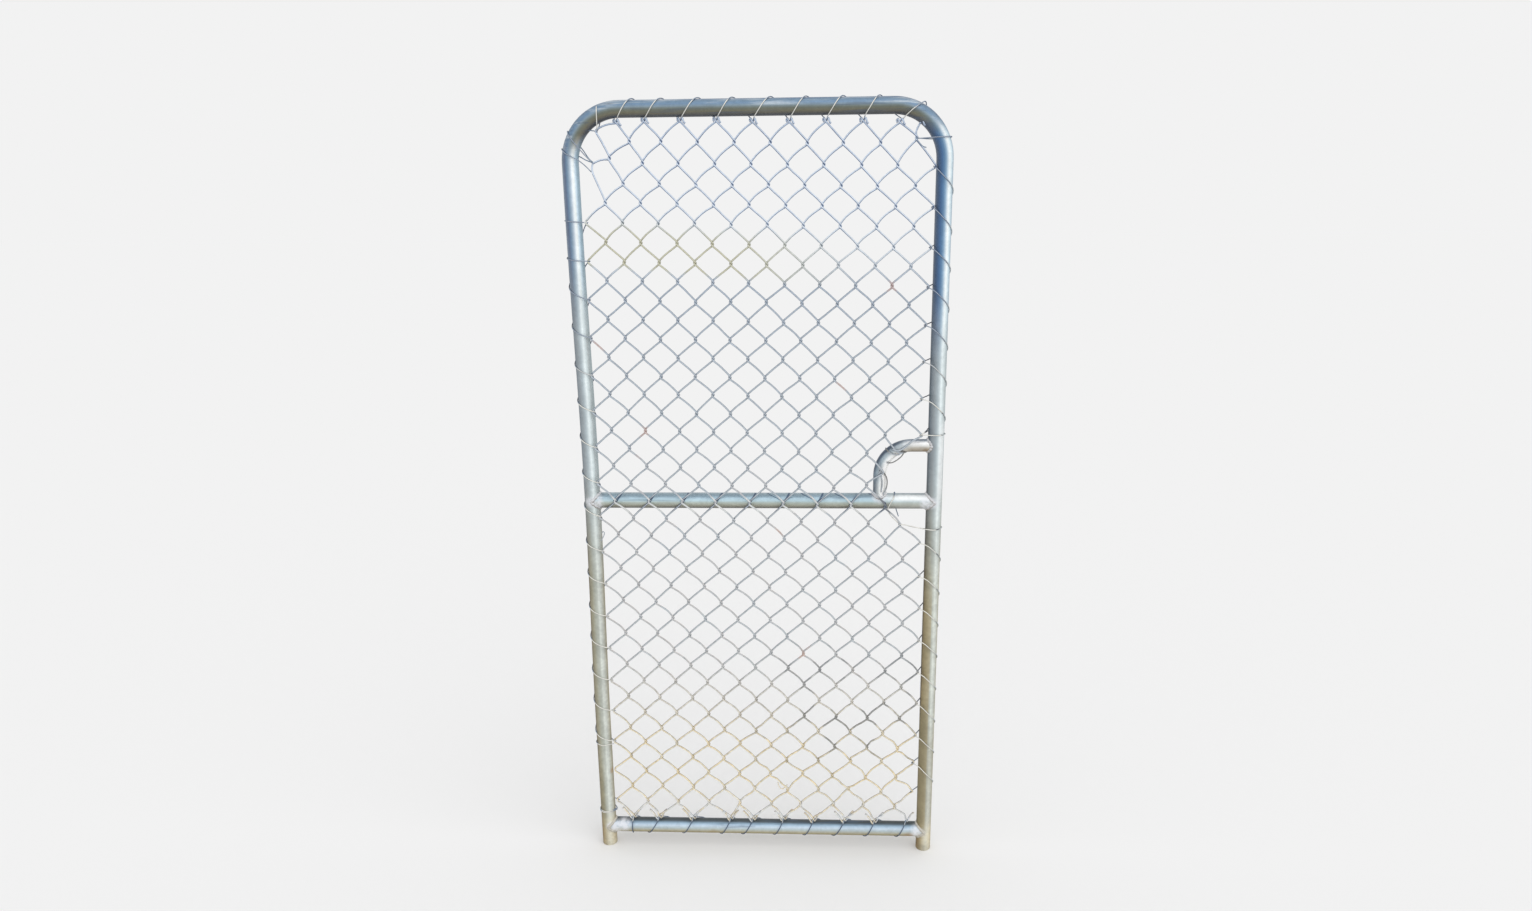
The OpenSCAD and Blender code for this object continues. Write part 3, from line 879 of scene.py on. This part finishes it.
# %% [markdown]
# ## The bent frame tube
#
# One length of tube makes both stiles and the top rail, and its lower ends are open. The CAD tube
# is straight where the real hinge stile has its slight bow, so it is drawn again along its own
# line, as a wall with an outer and an inner side that meet at both ends.

# %% Bent tube
HOOP_SIDES = 64
LEG_PARTS = 60
CORNER_PARTS = 24

corner_length = CORNER_RADIUS * math.pi / 2
ways = list(np.linspace(0, CORNER_Z, LEG_PARTS, endpoint=False))
ways += [CORNER_Z + corner_length * i / CORNER_PARTS for i in range(CORNER_PARTS + 1)]
hinge_half = [hinge_line(s)[0] for s in ways]
latch_half = [latch_line(s)[0] for s in ways]
hoop_path = np.array(hinge_half + latch_half[::-1])
walls = [rings(hoop_path, r, HOOP_SIDES, up=(0, 1, 0)) for r in (TUBE_R, TUBE_R - TUBE_WALL)]
inside = len(hoop_path) * HOOP_SIDES
faces = skin(len(hoop_path), HOOP_SIDES)
faces += [face[::-1] for face in skin(len(hoop_path), HOOP_SIDES, inside)]
last = inside - HOOP_SIDES
for s in range(HOOP_SIDES):
    t = (s + 1) % HOOP_SIDES
    faces.append((t, s, inside + s, inside + t))
    faces.append((last + s, last + t, inside + last + t, inside + last + s))
points = np.concatenate(walls).reshape(-1, 3)
new_piece("frame_tube", ["frame_hoop"], points, faces, "galvanised_tube")
print("frame tube has", len(faces), "faces")

# %% [markdown]
# ## Where the mesh's bends are
#
# Chain-link mesh is woven from pickets: zigzag wires that stand side by side, each hooked round
# its neighbour's bends. So the whole field is set by its bends. Column k and row r have one where
# k + r is odd. The field hangs a little lower at the latch stile, the lacing has drawn its top
# edge to the right, and the bends round both top corners and the hand hole have been pulled in by
# hand. Close to the ground the wires have been kicked about. A regular grid would look like new
# mesh, so the grid is moved by a table of how far its two edges hang off, row by row.

# %% The grid, and how it hangs
COLUMNS = 19
ROWS = 40
COLUMN_STEP = 36.5
ROW_STEP = 39.4
MESH_LEFT = 22
MESH_LOW = 70
MESH_HIGH = 1640
# How far in front of the tubes' middle the mesh lies at its ends and at the mid rail
EDGE_Y = -6
MID_Y = -20.2

# How far the field is off a regular grid at some of its rows, at its hinge edge and latch edge.
# These offsets weren't drawn by hand: a separate program fitted them to the hang of the real mesh,
# they were rounded to half a millimetre, and a few were then changed by hand.
HUNG_ROWS = [0, 1, 3, 6, 10, 14, 17, 20, 23, 26, 29, 32, 35, 37, 38, 40]
HINGE_X = [4, 4, 2.5, 6.5, 6.5, 6.5, 4.5, 0.5, 1, 0.5, 2.5, 5.5, 6, 12, 14.5, 21.5]
LATCH_X = [-18, -4, -4, 0, 1.5, -1, -3, -6, -12, -8, -4.5, -1, 3, 4, 6, 8]
HINGE_Z = [3.5, 7.5, 10, 6, 8, 8, 5.5, 5, 2.5, 1, 0, 0, -2.5, -3.5, -5, -1]
LATCH_Z = [1, 3, 1, -5, -4.5, -8, -12, -9, -11, -10.5, -14, -17.5, -18.5, -19, -18.5, -12.5]
# Bends that have been pulled somewhere else
PULLED = {
    (0, 39): (57, 1621), (0, 37): (46, 1551), (1, 38): (80, 1571), (1, 40): (96, 1640),
    (2, 39): (121, 1602), (19, 40): (691, 1631), (18, 39): (685, 1601), (17, 22): (630, 925),
    (18, 19): (669, 809), (16, 21): (597, 897), (3, 0): (122, 73), (7, 0): (291, 73),
    (19, 0): (700, 74),
}
chance = np.random.default_rng(7)
print(len(HUNG_ROWS), "rows with fitted offsets,", len(PULLED), "bends pulled")


# %% The bends' places
def kicked(x, z):
    """How much the mesh has been kicked about at a place, from 0 to 1: most of all near the
    ground, and least beside the hinge stile."""
    return np.interp(z, (180, 430), (1, 0)) * np.interp(x, (250, 550), (0.25, 1))


def mesh_y(z):
    return np.interp(z, (MESH_LOW, MID_Z, MESH_HIGH), (EDGE_Y, MID_Y, EDGE_Y))


def hung_off(k, r, at_hinge, at_latch):
    """How far off the grid a bend is, between what its row is at the two edges."""
    share = k / COLUMNS
    at_hinge, at_latch = np.interp(r, HUNG_ROWS, at_hinge), np.interp(r, HUNG_ROWS, at_latch)
    return (1 - share) * at_hinge + share * at_latch


def find_bend(k, r):
    if (k, r) in PULLED:
        x, z = PULLED[k, r]
    else:
        x = MESH_LEFT + COLUMN_STEP * k + hung_off(k, r, HINGE_X, LATCH_X)
        z = MESH_LOW + ROW_STEP * r + hung_off(k, r, HINGE_Z, LATCH_Z)
        loose = 0.6 + 1.5 * kicked(x, z)
        x += chance.normal(0, loose)
        z += chance.normal(0, loose)
    return np.array((x, mesh_y(z), z))


bends = {
    (k, r): find_bend(k, r)
    for r in range(ROWS + 1)
    for k in range(COLUMNS + 1)
    if (k + r) % 2
}
# The last one above the hand hole has been drawn up to the stile
bends[19, 24] += np.array((5, 0, 2))
print(len(bends), "bends")

# %% [markdown]
# ## Weaving the pickets
#
# Seen from the front, a picket's strands that run down to the right lie in front and the strands
# that run down to the left lie behind, because the wire was wound into a flat spiral. Where two
# pickets hook, each wire turns about 7 mm of itself nearly upright beside the other: it passes in
# front of its neighbour at one end of the hook and behind it at the other. At the mesh's top and
# bottom edges the last bends are knuckled: the two ends are turned over each other, and their
# tails lie back along the strands. A flat lattice would look the same from far off, but up close
# the crossings are what a woven mesh is known by, so each picket is its own wire.

# %% Hooks, strands and knuckles
# Half a hook's height, how far it stands aside of the bend, and how far before or behind it
HOOK = 3.6
ASIDE = 1.9
APART = 1.95
# How many times as long as the others the hook under the hinge corner has been pulled
LONG_HOOKS = {(0, 37): 2.6}
# How long a knuckle's tail is, by whether it is at the top and at its picket's right
TAILS = {(True, False): 4, (True, True): 10, (False, False): 30, (False, True): 24}


def hooked(k, r, right):
    """A picket's three places at a bend, from above: over, beside and under its neighbour."""
    x, y, z = bends[k, r]
    side = 1 if right else -1
    tilt = chance.normal(0, 0.5)
    long = HOOK * LONG_HOOKS.get((k, r), 1)
    return [
        (x + tilt, y - side * APART, z + long),
        (x + side * ASIDE, y, z),
        (x - tilt, y + side * APART, z - long),
    ]


def strand(upper, lower, in_front):
    """The places between one hook and the next one down, with the slight bow of a woven wire. In
    front it is deepest in the gate's lower half, and behind right under the top rail."""
    upper, lower = np.array(upper), np.array(lower)
    across = lower - upper
    heights, curves = ((650, 1350), (2.8, 0.4)) if in_front else ((1380, 1470), (0.3, 2.5))
    curve = np.interp(upper[2], heights, curves)
    square = unit(np.array((-across[2], 0, across[0])))
    square *= 1 if square[2] > 0 else -1
    places = []
    for share, lift in ((0.04, 0.1), (0.33, 0.85), (0.67, 1.0), (0.96, 0.1)):
        place = upper + share * across + curve * lift * square
        loose = 0.22 + 1.5 * kicked(place[0], place[2])
        places.append(place + np.array((1, 0.3, 1)) * chance.normal(0, loose, 3))
    return places


def knuckle(k, r, right, at_top):
    """A picket's end, from its last hook to the tip of its tail."""
    x, y, z = bends[k, r]
    side = 1 if right else -1
    up = 1 if at_top else -1
    tail = TAILS[at_top, right] * chance.uniform(0.85, 1.15)
    forward = -side * up
    spread = 3.4 if at_top else 1.2
    return [
        (x + side * 3.2, y + forward * 1.9, z + up * 3.6),
        (x + side * 5.8, y + forward * 4.6, z + up * 1.2),
        (x + side * (spread + 0.4 * tail), y + forward * 4.4, z - up * 0.44 * tail),
        (x + side * (spread + 0.7 * tail), y + forward * 4.1, z - up * 0.78 * tail),
    ]


print("a hook is", HOOK * 2, "mm high")


# %% Pickets
def picket_path(p, row_high, row_low):
    """The places a picket's wire goes through between two rows, from above."""
    places = []
    for r in range(row_high, row_low - 1, -1):
        right = (p + r) % 2 == 0
        k = p + 1 if right else p
        hook = hooked(k, r, right)
        if places:
            places += strand(places[-1], hook[0], right)
        if r == ROWS:
            places += knuckle(k, r, right, True)[::-1] + hook[1:]
        elif r == 0:
            places += hook[:2] + knuckle(k, r, right, False)
        else:
            places += hook
    return places


MESH_WIRE = 3.8
MESH_SIDES = 7
# The last two pickets are cut at the hand hole: each ends at one row above it, and starts again
# at another below it
WHOLE_PICKETS = 17
CUT_ABOVE = 24
CUT_BELOW = {17: 20, 18: 19}
MESH_FIELDS = ["mesh_upper", "mesh_middle", "mesh_lower"]

stretches = {}
for p in range(COLUMNS):
    if p < WHOLE_PICKETS:
        stretches[f"picket_{p + 1:02d}"] = picket_path(p, ROWS, 0)
    else:
        stretches[f"picket_{p + 1:02d}_upper"] = picket_path(p, ROWS, CUT_ABOVE)
        stretches[f"picket_{p + 1:02d}_lower"] = picket_path(p, CUT_BELOW[p], 0)

# Both cut pickets end in a twist round the bent tube
stretches["picket_18_upper"] += [
    (647, -17.5, 985), (653, -16.8, 977), (661, -16.2, 969), (669, -15.5, 966),
    (676, -11, 967), (680, -3, 966), (678, 9, 962),
]
stretches["picket_19_upper"] += [
    (692, -17.2, 994), (677, -18, 981), (665, -19.5, 973), (656, -18.4, 973), (649, -15.5, 976),
]
for name, places in stretches.items():
    wire_piece(name, MESH_FIELDS, [smooth(places, 2)], "mesh_wire", MESH_WIRE, MESH_SIDES)
print(len(stretches), "picket wires")

# %% [markdown]
# ## Winding the lacing
#
# The lacing is a soft wire that goes round a tube once for each bend that it holds. Seen along
# the tube, it runs straight from the bend to the tube, round it, and straight back to the next
# bend. It is pulled tight over the front and lies a little slack over the far side. A plain helix
# would miss the bends that it holds, so each turn is worked out from one hold to the next.

# %% Winding a wire round a tube
TURN_PARTS = 24
# How far the wire's middle is off a tube, and how far past the middle of a bend
LACE_CLEAR = LACE_WIRE / 2 + 0.25
PAST_BEND = LACE_WIRE * 1.6


def wind(line, holds, far, side, proud=0.0, early=1.0):
    """A wire wound round a tube. A hold is (s, depth, forward), and far is where each turn is on
    the tube's far side. Side is 1 where the wire leaves a hold over the tube's front. Where early
    is under 1, the wire does most of its climb before it comes back to its hold."""
    radius = TUBE_R + LACE_CLEAR
    path = []
    for i in range(len(holds) - 1):
        (s_from, *from_hold), (s_to, *to_hold) = holds[i], holds[i + 1]
        lean_from = side * math.atan2(from_hold[1], from_hold[0])
        lean_to = side * math.atan2(to_hold[1], to_hold[0])
        for j in range(TURN_PARTS + (i == len(holds) - 2)):
            turn = j / TURN_PARTS
            angle = 2 * math.pi * turn + lean_from + (lean_to - lean_from) * turn
            hold = from_hold if turn < 0.5 else to_hold
            distance = math.hypot(*hold) + PAST_BEND
            off = 2 * math.pi * min(turn, 1 - turn)
            touches = math.acos(min(1, radius / distance))
            depth = radius / math.cos(max(0, touches - off)) if distance > radius else radius
            slack = proud * max(0, math.cos(2 * math.pi * (turn - 0.5))) ** 3
            if turn < 0.5:
                s = s_from + (far[i] - s_from) * turn * 2
            else:
                s = far[i] + (s_to - far[i]) * (turn * 2 - 1) ** early
            middle, inward = line(s)
            out = inward * math.cos(angle) - np.array((0, side * math.sin(angle), 0))
            path.append(middle + (depth + slack) * out)
    return path


def held(k, r, level=None):
    """The hold on a bend of the mesh: along a rail where level is its height, or up a stile."""
    x, y, z = bends[k, r]
    if level is not None:
        return x, abs(level - z), -y
    return z, min(abs(x - bow(z)), abs(GATE_WIDTH - x)), -y


def strayed(s, rise):
    """Where a turn is on the far side, some way past a hold. No two turns are quite the same."""
    return s + rise + chance.uniform(-3, 3)


print("the lacing's middle runs", LACE_CLEAR, "mm off its tube")

# %% [markdown]
# ## Lacing along the top rail
#
# The wire comes down behind the tube to a knuckle of the mesh, and goes up to the right over its
# front. Its last turn goes round the corner, where the tube bends away from the winding, so that
# one is a drawn path.

# %% Top lacing
top_holds = [held(k, ROWS, TOP_Z) for k in range(1, 19, 2)]
top_far = [strayed(s, 36) for s, *_ in top_holds[:-1]]
lace_top = wind(top_line, top_holds, top_far, 1, proud=1.0)
last_turn = [(657, -9, 1636), (663, -14, 1643), (675, -19.2, 1654), (688, -16.5, 1663),
             (697, -9, 1668), (702, 2, 1668), (704, 13, 1660), (702, 17.5, 1647),
             (698, 12, 1640), (694, 4, 1635)]
lace_top = lace_top[:-3] + list(smooth(last_turn))
wire_piece("lace_top", ["lacing_top"], [lace_top])
print("top lacing makes", len(top_holds), "turns")

# %% [markdown]
# ## Lacing down the hinge stile
#
# Over the front to each bend, and down behind the tube to the next. It starts and ends with a turn
# that runs level round the tube, where the wire was tied off. The first of the turns between them
# crosses the front nearly level too, and the others rise by about half a diamond there.

# %% Hinge lacing
HINGE_RISES = {33: 10, 31: 38}
hinge_rows = list(range(35, 4, -2))
hinge_holds = [held(0, r) for r in hinge_rows]
hinge_far = [
    strayed(s, HINGE_RISES.get(r, 36)) for r, (s, *_) in zip(hinge_rows[1:], hinge_holds[1:])
]
lace_hinge = wind(hinge_line, hinge_holds, hinge_far, -1, proud=0.4, early=0.7)
x, y, z = bends[0, 35]
left = bow(z) - TUBE_R - LACE_CLEAR
first = smooth([(left + 14, 17.4, z + 1), (left + 3, 9, z + 2), (left, 0, z + 3), (left + 4, -10, z + 3),
                (left + 17, -18.1, z + 2), (left + 29, -15, z + 1), (x - 4, y - 3, z)])
x, y, z = bends[0, 5]
last = smooth([(x + 1, y + 3, z - 3), (x - 8, 3, z - 4), (left + 26, 16, z - 4), (left + 8, 14.5, z - 5),
               (left, 0, z - 6), (left + 5, -11.5, z - 7), (left + 18, -18.1, z - 8),
               (left + 30, -14, z - 8), (x - 3, y - 2, z - 6)])
wire_piece("lace_hinge", ["lacing_hinge"], [first, lace_hinge, last])
print("hinge lacing makes", len(hinge_holds), "turns")

# %% [markdown]
# ## Lacing down the latch stile
#
# It comes in two lengths, above the hand hole and below it, and runs from each bend down to the
# right over the front. It goes nearly level behind the tube and back to the next bend. The upper
# length ends in half a turn above the hand hole, where a second short end lies beside it.


# %% Latch lacing
def lace_latch(rows):
    """The lacing between some rows of bends on the latch stile."""
    holds = [held(COLUMNS, r) for r in rows]
    far = [strayed(s, -57) for s, *_ in holds[:-1]]
    return wind(latch_line, holds, far, 1, early=0.35)


above = lace_latch(range(38, 23, -2))
x, y, z = bends[19, 24]
above += list(smooth([(x + 3, y - 2, z), (x + 12, y - 2.4, z), (732, -18.4, z - 1),
                      (743, -19, z - 1), (755, -13.6, z - 1), (760.6, -3, z - 1), (758, 9, z - 2)]))
beside = smooth([(x, y - 3, z + 1), (x + 7, y + 1, z + 5), (x + 13, y + 10, z + 8),
                 (x + 16, y + 20, z + 9)])
wire_piece("lace_latch_upper", ["lacing_latch_upper"], [above, beside])
wire_piece("lace_latch_lower", ["lacing_latch_lower"], [lace_latch(range(18, 1, -2))])
print("latch lacing ends at", [round(v) for v in above[-1]])

# %% [markdown]
# ## Lacing along the bottom rail
#
# From each knuckle it runs down to the left over the front, and back up behind the rail. Under the
# first knuckle beside the hinge stile its end goes straight down and round.

# %% Bottom lacing
bottom_holds = [held(k, 0, BOTTOM_Z) for k in range(19, 0, -2)]
bottom_far = [strayed(s, -32) for s, *_ in bottom_holds[:-1]]
lace_bottom = wind(bottom_line, bottom_holds, bottom_far, 1, proud=0.6)
x, y, z = bends[1, 0]
lace_bottom += list(smooth([(x, y - 4, z + 1), (x - 2, -15, z - 8), (x - 3, -18.3, BOTTOM_Z + 3),
                            (x - 3, -15, BOTTOM_Z - 11), (x - 3, -4, BOTTOM_Z - 18),
                            (x - 3, 10, BOTTOM_Z - 15)]))
wire_piece("lace_bottom", ["lacing_bottom"], [lace_bottom])
print("bottom lacing makes", len(bottom_holds), "turns")

# %% [markdown]
# ## Ties
#
# Short lengths of the same wire hold the corners, where no lacing reaches. Each goes round the
# tube from a bend of the mesh, once or twice. No two are alike, so each is drawn by itself, as a
# few places that it goes through.

# %% Ties at the hinge corner
high_wrap = [(46, -9, 1561), (31, -13, 1578), (20, -17, 1592), (12, -18.1, 1602),
             (2.7, -14.9, 1614), (-0.3, -8, 1620.7), (-1.4, 2, 1622), (2.8, 13, 1616),
             (9, 18.2, 1604), (24, 14, 1586), (37, 2, 1570), (47, -4, 1562)]
low_wrap = [(43, -9, 1544), (32, -12, 1556), (19, -16, 1567), (8, -18.1, 1573),
            (-5.4, -16.8, 1580), (-13.2, -8.5, 1587), (-14.9, 1, 1589), (-11.2, 11.6, 1586),
            (0, 18.1, 1580), (13, 15, 1575), (20, 4, 1573), (32, -3, 1567), (46, -8, 1562)]
rise = [(58, -7, 1618), (60, -15, 1630), (61, -19.2, 1642), (61, -18, 1660), (60, -7, 1670),
        (61, 8, 1669), (62, 18, 1652), (60, 12, 1634), (57, 2, 1622)]
level_end = [(30, -3, 1626), (38, -5, 1624), (53, -7, 1622)]
wraps = [smooth(path) for path in (high_wrap, low_wrap, rise, level_end)]
wire_piece("wrap_corner_hinge", ["tie_corner_hinge"], wraps)
print(len(wraps), "wires at the hinge corner")

# %% Ties at the latch corner and at the hinge stile's foot
level_wrap = [(684, -9, 1600), (704, -14, 1601), (720, -18, 1602), (733, -19.4, 1602.5),
              (746, -15, 1603), (753.5, -4, 1603), (751, 10, 1601), (738, 19, 1597),
              (722, 17, 1599), (706, 6, 1599.5), (693, -3, 1600.5), (685, -6, 1601)]
lens = [(685, -9, 1603), (688, -10, 1594), (696, -10, 1586), (704, -9, 1583)]
wire_piece("wrap_corner_latch", ["tie_corner_latch"], [smooth(level_wrap), smooth(lens)])

# The tie at the foot goes round twice: after the bend, its holds are on the tube itself
foot_holds = [held(0, 1), (93, 18.3, 2), (90, 18.3, 2)]
around_foot = wind(hinge_line, foot_holds, [92, 89], -1)
wire_piece("wrap_foot_hinge", ["tie_foot_hinge"], [around_foot])
print("foot tie lies at", round(foot_holds[-1][0]), "mm")

# %% Ties under the hand hole
# The cut edge of the mesh is tied across to the latch stile, and up over the mid rail
x, y, z = bends[18, 19]
across = smooth([(x - 2, y - 3, z + 2), (x + 14, y - 2, z - 1), (x + 38, y - 1, z - 7),
                 (x + 56, y, z - 11), (x + 74, y, z - 12.5), (x + 88, y + 10, z - 12),
                 (x + 91, 2, z - 12), (x + 80, 16, z - 20), (x + 60, 15, z - 22),
                 (x + 34, 0, z - 13), (x + 10, y + 4, z - 2)])
wire_piece("wrap_latch_stile", ["tie_latch_stile"], [across])

over_rail = smooth([(x - 4, y - 2, z + 4), (x - 20, -18.8, z + 20), (x - 26, -19.6, 843),
                    (x - 21, -19.4, MID_Z), (x - 14, -15, 868), (x - 11, 0, 874.6),
                    (x - 12, 14, 868), (x - 12, 19, MID_Z), (x - 8, 15, 838), (x - 2, 0, z + 12)])
wire_piece("wrap_mid_rail", ["tie_mid_rail"], [over_rail])
print("tied from", (round(x), round(y), round(z)))

# %% [markdown]
# ## Twisted ends round the hand hole
#
# Two pickets were cut to make the hand hole, and their ends are twisted round the bent tube with
# short loops of wire, thinner than the mesh. There are two stray ends besides: a hook beside the
# hinge stile, and a snagged end near the ground.

# %% Twists and stray ends
TWIST_WIRE = 2.6

twist = smooth([(636, -9, 976), (643, -14.5, 968), (654, -15.6, 963), (664, -16, 963),
                (672, -13, 970), (677, -8, 974)])
inner_loop = smooth([(675, -13, 968), (671, -12, 960), (665, -10, 953), (656, -10, 946.5),
                     (648, -12, 944), (639, -15, 945)])
wire_piece("twist_hole_corner", ["tie_hole_corner"], [twist, inner_loop], "mesh_wire", TWIST_WIRE)

side_loop = smooth([(622, -16, 934), (631, -15, 926), (638.5, -10, 913), (641, -7, 899),
                    (638.5, -10, 885), (632, -14, 874)])
leg_arc = smooth([(623, -16, 928), (628, -15, 914), (630, -14.8, 898), (628, -15, 880)])
wire_piece("twist_hole_leg", ["tie_hole_leg"], [side_loop, leg_arc], "mesh_wire", TWIST_WIRE)

hooked_end = smooth([(22, -17, 768), (27, -19, 776), (31, -19, 786), (28, -19, 790), (25, -18, 786)])
snag = smooth([(402, -9, 172), (405, -11, 162), (411, -12, 156), (419, -11, 160), (424, -9, 166)])
wire_piece("stray_ends", [], [hooked_end, snag], "mesh_wire")
print("twists are", TWIST_WIRE, "mm wire")

# %% [markdown]
# ## Weld beads
#
# Each rail is welded all round where it meets a stile, and the bent tube is welded at both ends.
# A bead follows the saddle line where two tubes meet. It is laid in short overlapping puddles, so
# its thickness goes up and down along it. The line follows from the two tubes' radii, so the bead
# is drawn along it as a closed wire of uneven thickness, and no tube has to be cut by another.


# %% A bead
BEAD_SIZE = 3.4
BEAD_PARTS = 96
BEAD_SIDES = 8
PUDDLES = 15


def bead_piece(name, node, corner, outward, along, branch_r):
    """A bead round a branch tube that leaves the main tube at a corner point, in millimetres."""
    outward, along = np.array(outward, float), np.array(along, float)
    third = np.cross(outward, along)
    turns = np.linspace(0, 2 * math.pi, BEAD_PARTS, endpoint=False)
    path = []
    for t in turns:
        up, side = branch_r * math.cos(t), branch_r * math.sin(t)
        out = math.sqrt(max(0, TUBE_R**2 - side**2))
        path.append(np.array(corner) + out * outward + up * along + side * third)
    path = np.array(path)
    sizes = BEAD_SIZE * (1 + 0.12 * np.sin(turns * PUDDLES) + chance.normal(0, 0.04, BEAD_PARTS))
    # One more ring before the first and after the last, so that each ring knows the way on
    path = np.vstack((path[-1:], path, path[:1]))
    sizes = np.concatenate((sizes[-1:], sizes, sizes[:1]))
    points = rings(path, sizes, BEAD_SIDES, up=outward)[1:-1].reshape(-1, 3)
    new_piece(name, [node], points, skin(BEAD_PARTS, BEAD_SIDES, closed=True), "weld")


print("beads are", BEAD_SIZE * 2, "mm thick")

# %% Six beads
RIGHT, LEFT, UP = (1, 0, 0), (-1, 0, 0), (0, 0, 1)
for level, z in (("mid", MID_Z), ("bottom", BOTTOM_Z)):
    hinge, latch = (bow(z), 0, z), (GATE_WIDTH, 0, z)
    bead_piece(f"bead_{level}_hinge", f"weld_{level}_hinge", hinge, RIGHT, UP, TUBE_R)
    bead_piece(f"bead_{level}_latch", f"weld_{level}_latch", latch, LEFT, UP, TUBE_R)
bead_piece("bead_hole_stile", "weld_hole_stile", (GATE_WIDTH, 0, HOLE_Z), LEFT, UP, HOLE_R)
bead_piece("bead_hole_rail", "weld_hole_rail", (HOLE_X, 0, MID_Z), UP, RIGHT, HOLE_R)
print("the hinge stile's beads are", MID_Z - BOTTOM_Z, "mm apart")

# %% [markdown]
# ## Sizes
#
# The bounds of the CAD assembly and of the dressed gate are taken side by side. They should
# differ by no more than the width of a wire.

# %% The sizes side by side
sizes = {"cad": cad_bounds, "visual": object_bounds()}
json.loads(json.dumps(sizes, default=list))
print("dressed gate reaches", tuple(round(v, 4) for v in sizes["visual"][1]), "m")
